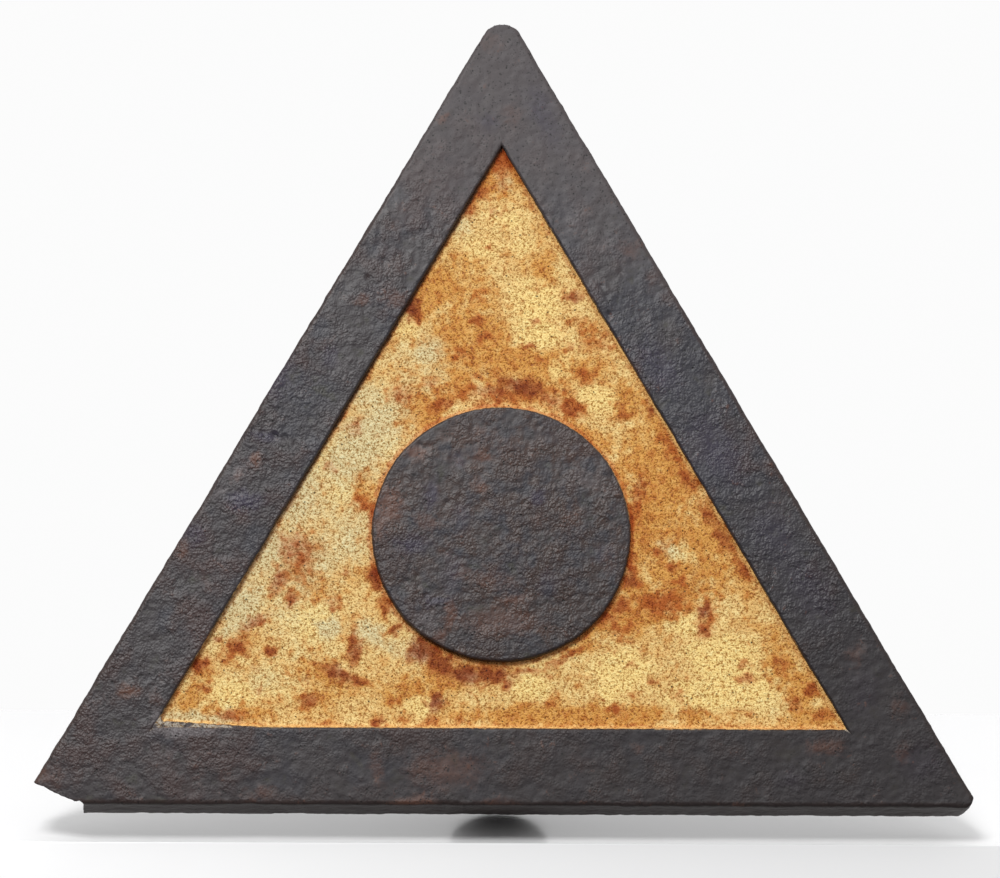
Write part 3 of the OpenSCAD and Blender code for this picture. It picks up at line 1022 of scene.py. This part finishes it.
def rust_over(obj, amount):
    """Pits a small part, always inwards, so that it stays within its true size."""
    points = points_of(obj)
    push = (wander(points, 2.4 * MM, 31, 3) - 1) * amount
    place_points(obj, points + normals_of(obj) * push[:, None])


def make_shank(height):
    """The threaded shank of a screw, with its narrowed point."""
    bm = bmesh.new()
    add_round(bm, shank_r, (0, tip_y, height), (0, head_y + 1 * MM, height), 40)
    along = [e for e in bm.edges if abs(e.verts[0].co.y - e.verts[1].co.y) > 10 * MM]
    bmesh.ops.subdivide_edges(bm, edges=along, cuts=119)
    for vert in bm.verts:
        x = vert.co.x
        z = vert.co.z - height
        if math.hypot(x, z) < shank_r / 2:
            continue
        behind = vert.co.y - tip_y
        turns_along = behind / pitch - math.atan2(z, x) / (2 * math.pi)
        valley = abs(2 * (turns_along % 1) - 1)
        drawn = thread_h * valley ** 1.3 + point_in * (1 - min(1, behind / point_l))
        vert.co.x = x * (1 - drawn / shank_r)
        vert.co.z = height + z * (1 - drawn / shank_r)
    return as_object(bm, "shank")


def make_head(height):
    """The square head of a screw, with its outer edges rounded."""
    bm = bmesh.new()
    half = head_w / 2
    add_box(bm, (-half, head_y, height - half), (half, screw_high.y, height + half))
    outer = [e for e in bm.edges if all(v.co.y > head_y + 1 * MM for v in e.verts)]
    round_off(bm, outer, 1.8 * MM)
    obj = as_object(bm, "head")
    reskin(obj, 0.5 * MM, 4)
    rust_over(obj, 0.18 * MM)
    return obj


def merge(name, parts):
    """Puts several closed shapes into one object, side by side, at its place on the sign."""
    bm = bmesh.new()
    for part in parts:
        bm.from_mesh(part.data)
        discard(part)
    obj = as_object(bm, name)
    obj.data.transform(Matrix.Translation((0, 0, centre_z)))
    obj.data.shade_smooth()
    return obj


screws = merge("square_head_screws",
               [make(z) for z in screw_heights for make in (make_shank, make_head)])
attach(screws, "root")
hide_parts("set_screws")
count(screws)

# %% The nuts
nut_low, nut_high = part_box("lock_nuts")
nut_corner = (nut_high.x - nut_low.x) / 2
nut_hole_r = shank_r + 0.15 * MM
chamfer = 1.6 * MM


def make_nut(height):
    """A hexagon, kept only where a turned and chamfered blank fills it, and bored through."""
    depth = nut_high.y - nut_low.y
    face_r = nut_corner * math.cos(math.radians(30)) - 0.2 * MM
    bm = bmesh.new()
    add_round(bm, nut_corner, (0, nut_low.y, height), (0, nut_high.y, height), 6)
    obj = as_object(bm, "nut")
    profile = [(0, 0), (face_r, 0), (nut_corner, chamfer), (nut_corner, depth - chamfer),
               (face_r, depth), (0, depth)]
    blank = as_object(turned(profile, 64, nut_low.y, height), "blank")
    combine(obj, blank, "INTERSECT")
    hole = round_block("hole", nut_hole_r, (0, nut_low.y - spare, height),
                       (0, nut_high.y + spare, height))
    combine(obj, hole, "DIFFERENCE")
    reskin(obj, 0.45 * MM, 3)
    rust_over(obj, 0.16 * MM)
    return obj


nuts = merge("hexagon_lock_nuts", [make_nut(z) for z in screw_heights])
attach(nuts, "root")
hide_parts("lock_nuts")
count(nuts)

# %% [markdown]
# ## Finishes
#
# All the finishes are old paint over rusting iron, so they are built from the same few
# nodes: noise for clouds and grain, creases where a noise passes its middle, Voronoi cells
# for pin holes, and soft steps that turn them into masks. Two small classes keep the node
# calls short. Patterns read object coordinates, which are the sign's own metres, so every
# size below is a real size.

# %% Short calls for the nodes
class Nodes:
    """A tree of nodes, to which nodes are added by short calls."""

    def __init__(self, tree):
        self.tree = tree

    def add(self, kind, **settings):
        node = self.tree.nodes.new(kind)
        for name, value in settings.items():
            setattr(node, name, value)
        return node

    def feed(self, socket, value):
        if isinstance(value, bpy.types.NodeSocket):
            self.tree.links.new(value, socket)
        else:
            socket.default_value = value

    def step(self, value, low, high, start=0.0, end=1.0):
        """A soft step: start below low, end above high."""
        node = self.add("ShaderNodeMapRange", interpolation_type="SMOOTHSTEP")
        for socket, given in zip(node.inputs, (value, low, high, start, end)):
            self.feed(socket, given)
        return node.outputs["Result"]

    def math(self, operation, first, second=0.0):
        node = self.add("ShaderNodeMath", operation=operation)
        self.feed(node.inputs[0], first)
        self.feed(node.inputs[1], second)
        return node.outputs[0]


# %% A material and its patterns
class Finish(Nodes):
    """A material and the nodes that feed its shader."""

    def __init__(self, name):
        self.material = bpy.data.materials.new(name)
        self.material.use_nodes = True
        super().__init__(self.material.node_tree)
        self.shader = self.tree.nodes["Principled BSDF"]
        self.place = self.add("ShaderNodeTexCoord").outputs["Object"]

    def noise(self, size, detail=2.0, rough=0.5, distortion=0.0):
        """Noise in lumps of a given size, mostly between 0.3 and 0.7."""
        node = self.add("ShaderNodeTexNoise")
        self.feed(node.inputs["Vector"], self.place)
        self.feed(node.inputs["Scale"], 1 / size)
        self.feed(node.inputs["Detail"], detail)
        self.feed(node.inputs["Roughness"], rough)
        self.feed(node.inputs["Distortion"], distortion)
        return node.outputs["Fac"]

    def cells(self, size):
        """Distance to the nearest of many scattered points, 0 at each one."""
        node = self.add("ShaderNodeTexVoronoi")
        self.feed(node.inputs["Vector"], self.place)
        self.feed(node.inputs["Scale"], 1 / size)
        return node.outputs["Distance"]

    def swing(self, value):
        """A noise moved down to lie about nothing."""
        return self.math("SUBTRACT", value, 0.5)

    def folds(self, size, detail=2.0, rough=0.5, distortion=0.0):
        """Rounded tops with sharp creases between them, where a noise passes its middle."""
        return self.math("ABSOLUTE", self.swing(self.noise(size, detail, rough, distortion)))

    def total(self, *terms):
        """Adds weighted values, given as pairs of weight and value."""
        made = None
        for weight, value in terms:
            part = self.math("MULTIPLY", value, weight)
            made = part if made is None else self.math("ADD", made, part)
        return made

    def mix(self, amount, first, second, blend="MIX"):
        """Goes from the first colour to the second, or to their product."""
        node = self.add("ShaderNodeMix", data_type="RGBA", blend_type=blend)
        self.feed(node.inputs[0], amount)
        for socket, colour in ((node.inputs[6], first), (node.inputs[7], second)):
            self.feed(socket, (*colour, 1) if isinstance(colour, tuple) else colour)
        return node.outputs[2]

    def number(self, name):
        """A number that the piece's points keep."""
        return self.add("ShaderNodeAttribute", attribute_name=name).outputs["Fac"]

    def along(self, axis):
        """One of the sign's coordinates, in metres."""
        node = self.add("ShaderNodeSeparateXYZ")
        self.feed(node.inputs[0], self.place)
        return node.outputs[axis]

    def finish(self, colour, roughness, height, depth):
        self.feed(self.shader.inputs["Base Color"], colour)
        self.feed(self.shader.inputs["Roughness"], roughness)
        bump = self.add("ShaderNodeBump")
        self.feed(bump.inputs["Height"], height)
        self.feed(bump.inputs["Distance"], depth)
        self.feed(bump.inputs["Strength"], 1.0)
        self.feed(self.shader.inputs["Normal"], bump.outputs["Normal"])
        return self.material


# %% [markdown]
# ## Worn black paint
#
# The black is thin, dark and satin over wrinkled iron, so most of what shows is the gloss on
# the wrinkles. In places the black is bluish or olive, in others brown rust shows through.
# It is smooth at the top corner, where the weather has had the most of it, and lighter
# there, as chalky paint and as a painted sheen. It is calmer along the lower edge, and
# darker towards the lower right as painted shade. Brown gathers on the worn outer edge,
# dirt and painted shade darken the creases and the pin holes, and the field's cream has run
# over the inner arris, on the disc's edge as a painted highlight. One function makes three
# blacks: brown says how much rust shows, painted whether the piece keeps its numbers for
# the paint, and the last two the heights between which the wrinkles fade.

# %% Black finishes
PURPLE_BLACK = (0.038, 0.032, 0.035)
BLUE_BLACK = (0.033, 0.032, 0.041)
RED_BROWN = (0.060, 0.034, 0.031)
OLIVE_BLACK = (0.043, 0.040, 0.029)
VIOLET = (0.036, 0.030, 0.054)
BLOOM = (0.125, 0.108, 0.112)
PALE_GREY_BLACK = (0.082, 0.070, 0.072)
LOW_RIGHT_SHADE_BLACK = (0.019, 0.013, 0.012)
RUST_TINT = (0.115, 0.050, 0.032)
EDGE_BROWN = (0.046, 0.028, 0.024)
WALL_BROWN = (0.038, 0.027, 0.025)
SOOT_AND_SHADE = (0.008, 0.007, 0.007)
RUN_CREAM = (0.72, 0.50, 0.22)
RUN_OCHRE = (0.36, 0.16, 0.05)


def black_paint(name, brown, painted, smooth_from, smooth_to):
    f = Finish(name)
    # Patterns, from the widest clouds to the finest grain.
    broad = f.noise(46 * MM, 2, 0.5)
    cloud = f.noise(30 * MM, 2, 0.5)
    patch = f.noise(17 * MM, 2, 0.5)
    mottle = f.noise(10 * MM, 3, 0.6)
    swell = f.noise(6.0 * MM, 1, 0.5, 0.5)
    grain = f.noise(2.7 * MM, 1, 0.5)
    fine = f.noise(1.4 * MM, 0)
    leather = f.folds(3.6 * MM, 1, 0.5, 0.5)
    hole = f.step(f.cells(5.5 * MM), 0.07, 0.16, 1.0, 0.0)
    pore = f.step(f.cells(2.4 * MM), 0.12, 0.28, 1.0, 0.0)
    pore = f.math("MULTIPLY", pore, f.step(mottle, 0.40, 0.56))
    # Parts of the sign that differ, told by their place.
    up = f.along(2)
    across = f.along(0)
    chalky = f.step(f.total((1.0, up), (0.4, across), (0.15, f.swing(broad))), 0.36, 0.50)
    # dim marks the lower right, where the black is darkened as painted shade.
    dim = f.step(f.total((1.0, up), (-0.5, across)), 0.22, -0.08)
    calm = f.step(f.total((1.0, up), (-0.2, across)), 0.11, 0.0)
    # The colour, from the ground up.
    purple = f.step(f.total((1.0, cloud), (-0.5, across)), 0.40, 0.62)
    colour = f.mix(purple, BLUE_BLACK, PURPLE_BLACK)
    olive = f.step(f.total((0.6, patch), (0.4, mottle)), 0.42, 0.32, 0.0, 0.8)
    colour = f.mix(olive, colour, OLIVE_BLACK)
    reddish = f.total((0.5, broad), (0.3, patch), (0.2, mottle), (-0.12, across))
    colour = f.mix(f.step(reddish, 0.48, 0.64, 0.0, 0.8), colour, RED_BROWN)
    browned = f.total((brown, f.step(mottle, 0.30, 0.70)))
    if painted:
        worn = f.total((0.75, f.number("edge")), (0.6, f.swing(mottle)))
        browned = f.math("MAXIMUM", browned, f.step(worn, 0.2, 0.9, 0.0, 0.8))
    colour = f.mix(browned, colour, EDGE_BROWN)
    # Lighter at the top corner: chalky paint, and a painted sheen as well.
    colour = f.mix(f.total((0.8, chalky)), colour, PALE_GREY_BLACK)
    tints = [("violet", VIOLET, 0.9), ("bloom", BLOOM, 0.9), ("rusty", RUST_TINT, 0.8)]
    ragged = f.total((0.5, f.swing(mottle)), (0.3, f.swing(grain)))
    # On painted pieces the lower right is first darkened as painted shade, then the violet, bloom and
    # rust patches go on.
    for spots, shade, most in tints if painted else []:
        if spots == "bloom":
            colour = f.mix(f.total((0.7, dim)), colour, LOW_RIGHT_SHADE_BLACK)
        covered = f.step(f.total((1.0, f.number(spots)), (1.0, ragged)), 0.10, 0.95, 0.0, most)
        colour = f.mix(covered, colour, shade)
    rusted = f.step(f.total((0.6, mottle), (0.4, grain)), 0.60, 0.72, 0.0, 0.55)
    colour = f.mix(rusted, colour, RUST_TINT)
    # Dirt and painted shade darken the creases, the pores and the pin holes.
    creased = f.step(f.total((0.6, grain), (0.4, fine)), 0.42, 0.30, 0.0, 0.7)
    colour = f.mix(f.math("MAXIMUM", creased, f.total((0.8, pore))), colour, SOOT_AND_SHADE)
    colour = f.mix(hole, colour, SOOT_AND_SHADE)
    if painted:
        colour = f.mix(f.total((0.9, f.number("wall"))), colour, WALL_BROWN)
        coat = f.mix(f.step(grain, 0.35, 0.65), RUN_CREAM, RUN_OCHRE)
        coated = f.math("MULTIPLY", f.number("paint"), f.step(mottle, 0.36, 0.54))
        colour = f.mix(coated, colour, coat)
    # The gloss, and the wrinkles, which fade where the paint is smooth.
    roughness = f.total((1.0, f.step(mottle, 0.35, 0.65, 0.47, 0.41)), (0.10, chalky), (0.10, calm))
    varied = f.step(broad, 0.35, 0.62, 0.65, 1.1)
    varied = f.math("MULTIPLY", varied, f.step(patch, 0.34, 0.60, 0.60, 1.15))
    smooth = f.step(up, smooth_from, smooth_to)
    lively = f.total((1.0, varied), (-0.60, chalky), (-0.45, calm), (-0.42, smooth))
    height = f.total((0.8, swell), (1.0, grain), (0.7, fine), (0.5, leather), (-0.35, hole),
                     (-0.20, pore))
    height = f.math("MULTIPLY", height, f.math("MAXIMUM", lively, 0.15))
    f.feed(f.shader.inputs["Specular IOR Level"], 0.34)
    return f.finish(colour, roughness, height, 0.50 * MM)


border_paint = black_paint("worn_black_border", 0.10, True, 0.28, 0.40)
disc_paint = black_paint("worn_black_disc", 1.20, True, 0.19, 0.25)
back_paint = black_paint("rusted_black_back", 0.85, False, 0.6, 0.7)

# %% [markdown]
# ## Stained cream paint
#
# The field's cream has aged over the same wrinkled iron: a painted highlight on the tops,
# dirt and painted shade in the creases between them, golden and ochre where rust has
# coloured the paint, and orange to purple brown where it has bled through. The stains are
# thin glazes, so they multiply the colour below and its grain shows through them. The
# painted highlight on the tops multiplies too, and takes back some of the yellow. Light is
# painted along the right and lower walls and shadow along the left one. The stored numbers
# say where all of this lies, and noise breaks up its edges.

# %% The cream finish
CREAM = (0.85, 0.565, 0.210)
SUNNY_CREAM = (0.95, 0.68, 0.245)
PAINTED_GLINT = (1.12, 1.26, 1.50)
GOLDEN = (0.71, 0.345, 0.076)
GREEN_GREY = (0.72, 0.60, 0.320)
RUST_GLAZE = (0.77, 0.48, 0.42)
DARK_GLAZE = (0.55, 0.49, 0.72)
FRECKLE_GLAZE = (0.76, 0.54, 0.38)
LIT_WALL = (0.92, 0.56, 0.20)
WALL_SHADOW_AND_GRIME = (0.10, 0.045, 0.022)
CREASE_DIRT_AND_SHADE = (0.46, 0.31, 0.17)
SMEAR = (0.42, 0.37, 0.30)


def cream_paint(name):
    f = Finish(name)
    # Patterns, from the widest clouds to the finest grain, and the stored numbers.
    big = f.noise(55 * MM, 3, 0.55)
    cloud = f.noise(18 * MM, 3, 0.55)
    mid = f.noise(6 * MM, 3, 0.55)
    grain = f.noise(2.1 * MM, 1, 0.5, 0.8)
    fine = f.noise(1.2 * MM, 0)
    leather = f.folds(3.2 * MM, 1, 0.5, 0.6)
    warm = f.number("warm")
    pale = f.number("pale")
    rust = f.number("rust")
    sunny = f.number("sunny")
    # Cream that is golden, sunny or faded, in blotches.
    blotch = f.total((1.1, f.swing(big)), (1.5, f.swing(cloud)), (1.2, f.swing(mid)),
                     (0.10, f.swing(grain)))
    aged = f.total((1.0, blotch), (0.90, warm), (-0.50, sunny), (-0.25, pale), (0.7, rust))
    colour = f.mix(f.step(aged, -0.15, 0.62), CREAM, GOLDEN)
    fresh = f.total((0.9, sunny), (-0.8, blotch), (-0.25, warm))
    colour = f.mix(f.step(fresh, -0.05, 0.65), colour, SUNNY_CREAM)
    faded = f.total((1.0, pale), (-0.8, blotch), (0.4, f.swing(cloud)))
    colour = f.mix(f.step(faded, 0.0, 0.95, 0.0, 0.85), colour, GREEN_GREY)
    raised = f.total((0.6, grain), (0.4, fine))
    # A painted highlight on the raised tops of the grain.
    painted_glint = f.math("MULTIPLY", f.step(raised, 0.50, 0.66), f.step(aged, -0.2, 0.8, 0.85, 0.40))
    colour = f.mix(painted_glint, colour, PAINTED_GLINT, "MULTIPLY")
    # Glazes of rust: freckles, stains, the foot of the walls, and the stains' dark cores.
    freckles = f.total((1.0, mid), (0.45, f.swing(cloud)), (0.14, warm), (0.18, rust))
    colour = f.mix(f.step(freckles, 0.56, 0.80, 0.0, 0.8), colour, FRECKLE_GLAZE, "MULTIPLY")
    bled = f.total((1.0, rust), (0.8, f.swing(mid)), (0.5, f.swing(cloud)), (0.3, f.swing(grain)))
    colour = f.mix(f.step(bled, 0.05, 0.95), colour, RUST_GLAZE, "MULTIPLY")
    foot = f.total((0.8, f.number("foot")), (0.9, f.swing(mid)), (0.7, f.swing(cloud)))
    colour = f.mix(f.step(foot, 0.20, 0.95, 0.0, 0.8), colour, RUST_GLAZE, "MULTIPLY")
    core = f.total((1.0, f.number("dark")), (0.7, f.swing(mid)), (0.3, f.swing(grain)))
    colour = f.mix(f.step(core, 0.12, 1.00), colour, DARK_GLAZE, "MULTIPLY")
    # The walls, with painted light along the right and lower ones and painted shadow along the left one,
    # the smear, the dirt and painted shade in the creases, and the pin holes.
    lit = f.math("MULTIPLY", f.number("bright"), f.step(cloud, 0.36, 0.52))
    colour = f.mix(lit, colour, LIT_WALL)
    colour = f.mix(f.number("shadow_wall"), colour, WALL_SHADOW_AND_GRIME)
    smear = f.mix(f.step(mid, 0.40, 0.56), SMEAR, PALE_GREY_BLACK)
    colour = f.mix(f.step(f.number("mound"), 0.15, 0.6), colour, smear)
    # Dirt and painted shade in the creases and low spots.
    sunk = f.total((1.0, f.step(raised, 0.50, 0.34)), (0.7, f.step(leather, 0.045, 0.0)))
    colour = f.mix(f.math("MINIMUM", sunk, 1.0), colour, CREASE_DIRT_AND_SHADE, "MULTIPLY")
    # Pin holes, darkened with dirt and painted shade.
    pins = f.step(f.cells(6.5 * MM), 0.05, 0.11, 1.0, 0.0)
    specks = f.step(f.cells(10 * MM), 0.04, 0.09, 1.0, 0.0)
    dots = f.math("MAXIMUM", pins, specks)
    colour = f.mix(f.total((0.8, dots)), colour, SOOT_AND_SHADE)
    roughness = f.step(bled, 0.2, 0.8, 0.42, 0.60)
    height = f.total((1.0, grain), (0.6, fine), (0.7, leather), (0.8, mid), (-0.3, dots))
    f.feed(f.shader.inputs["Specular IOR Level"], 0.15)
    return f.finish(colour, roughness, height, 0.72 * MM)


field_paint = cream_paint("stained_cream_field")

# %% [markdown]
# ## Rusted steel
#
# The screws and nuts were painted with the sign and have rusted since. Rust is no metal to
# the eye, so the finish is mostly rough and brown, with a little dull metal left in it.

# %% The steel finish
OLD_PAINT = (0.065, 0.052, 0.046)
DARK_RUST = (0.17, 0.075, 0.040)
FRESH_RUST = (0.27, 0.11, 0.045)


def rusted_steel(name):
    f = Finish(name)
    mottle = f.noise(5 * MM, 4, 0.6)
    grain = f.noise(1.2 * MM, 3, 0.6)
    colour = f.mix(f.step(mottle, 0.38, 0.62), OLD_PAINT, DARK_RUST)
    colour = f.mix(f.step(f.total((0.5, mottle), (0.5, grain)), 0.55, 0.68), colour, FRESH_RUST)
    roughness = f.step(mottle, 0.3, 0.7, 0.45, 0.75)
    f.feed(f.shader.inputs["Metallic"], 0.25)
    return f.finish(colour, roughness, f.total((0.7, grain), (0.5, mottle)), 0.5 * MM)


steel = rusted_steel("rusted_steel")

# %% Put the finishes on
others = [(disc, disc_paint), (field, field_paint), (back_casting, back_paint), (screws, steel),
          (nuts, steel)]
for piece, paint in [(p, border_paint) for p in sides] + others:
    piece.data.materials.clear()
    piece.data.materials.append(paint)
    print(piece.name, "wears", paint.name)

# %% [markdown]
# ## The table
#
# The sign leans back, and its weight rests on the rear of the socket's collar. In the sign's
# own frame the table is therefore a pale slab that tilts: it passes under the collar and
# comes forward below the lower edge, with its front edge just under the sign.

# %% The pale table
lean = math.radians(23)
table_half_w = 1.3
table_front = 0.083
table_back = 0.294
table_t = 0.06
table_slope = 0.032
TABLE_GREY = (0.86, 0.86, 0.87)
TABLE_WHITE = (0.90, 0.90, 0.90)


def make_table():
    bm = bmesh.new()
    add_box(bm, (-table_half_w, -table_front, -table_t), (table_half_w, table_back, 0))
    for vert in bm.verts:
        if vert.co.y < 0 and vert.co.z < -table_t / 2:
            vert.co.y -= table_slope
    round_off(bm, bm.edges[:], 0.8 * MM)
    place = Matrix.Translation((0, collar_r, 0)) @ Matrix.Rotation(lean, 4, "X")
    obj = as_object(bm, "table")
    obj.data.transform(place)
    f = Finish("pale_table")
    colour = f.mix(f.noise(0.2, 3), TABLE_GREY, TABLE_WHITE)
    obj.data.materials.append(f.finish(colour, 0.24, f.noise(0.05, 1), 0.05 * MM))
    print("table slab", table_t, "thick, leaning", round(math.degrees(lean)), "degrees")


make_table()

# %% [markdown]
# ## Light
#
# The sign was photographed in a white tent: one broad lamp from the upper left, a weaker
# one from the right, and bright white all round, which also comes in low from behind under
# the lower edge. A diffuse surface gives back a lamp's power over pi squared times the
# distance squared, so each lamp is set by the share of plain white that it should give.

# %% Lamps and world
scene = bpy.context.scene
middle = Vector((0, face_y, centre_z))


def add_lamp(name, place, aim, size, share):
    """An area lamp that lights a white surface at its aim to the given share of white."""
    lamp = bpy.data.lights.new(name, "AREA")
    lamp.shape = "RECTANGLE"
    lamp.size, lamp.size_y = size
    away = Vector(place) - Vector(aim)
    lamp.energy = share * (math.pi * away.length) ** 2
    obj = bpy.data.objects.new(name, lamp)
    obj.location = place
    obj.rotation_mode = "QUATERNION"
    obj.rotation_quaternion = away.to_track_quat("Z", "Y")
    scene.collection.objects.link(obj)
    print(name, "energy", round(lamp.energy, 1))


add_lamp("key", (-0.7, face_y - 3.2, centre_z + 1.6), middle, (1.0, 1.0), 0.74)
add_lamp("fill", (2.0, face_y - 3.0, centre_z + 0.4), middle, (1.4, 1.4), 0.10)


def make_world():
    """White behind and above, where the tent is, and dim towards the room in front.

    The camera sees plain white, and mirrored light is a little stronger than the rest.
    """
    world = bpy.data.worlds.new("white_tent")
    world.use_nodes = True
    scene.world = world
    tree = Nodes(world.node_tree)
    rays = tree.add("ShaderNodeLightPath").outputs
    backwards = tree.add("ShaderNodeVectorMath", operation="DOT_PRODUCT")
    tree.feed(backwards.inputs[0], tree.add("ShaderNodeTexCoord").outputs["Generated"])
    tree.feed(backwards.inputs[1], (0, 0.6, 1))
    tent = tree.step(backwards.outputs["Value"], -0.35, 0.55, 0.14, 0.97)
    mirrored = tree.math("MAXIMUM", rays["Is Glossy Ray"], rays["Is Transmission Ray"])
    level = tree.math("MULTIPLY", tent, tree.step(mirrored, 0.0, 1.0, 0.90, 1.0))
    seen = tree.math("MULTIPLY", rays["Is Camera Ray"], 0.97)
    background = world.node_tree.nodes["Background"]
    tree.feed(background.inputs["Color"], (1.0, 1.0, 1.0, 1))
    tree.feed(background.inputs["Strength"], tree.math("MAXIMUM", level, seen))


make_world()

# %% [markdown]
# ## Camera
#
# The photograph was taken from about 4.4 m with a long lens, a little below the sign's own
# square-on line. Its place and its aim were worked out from the sign's corners and edges.

# %% The camera
def make_camera():
    data = bpy.data.cameras.new("camera")
    data.sensor_width = 36
    data.lens = 228.2
    data.clip_end = 50
    data.dof.use_dof = False
    obj = bpy.data.objects.new("camera", data)
    eye = Vector((-0.0893, face_y - 4.3253, centre_z - 0.8197))
    aim = Vector((-0.0010, face_y, centre_z + 0.0668))
    obj.location = eye
    obj.rotation_mode = "QUATERNION"
    roll = Quaternion((0, 0, 1), math.radians(0.08))
    obj.rotation_quaternion = (eye - aim).to_track_quat("Z", "Y") @ roll
    scene.collection.objects.link(obj)
    scene.camera = obj


make_camera()
scene.view_settings.view_transform = "Standard"
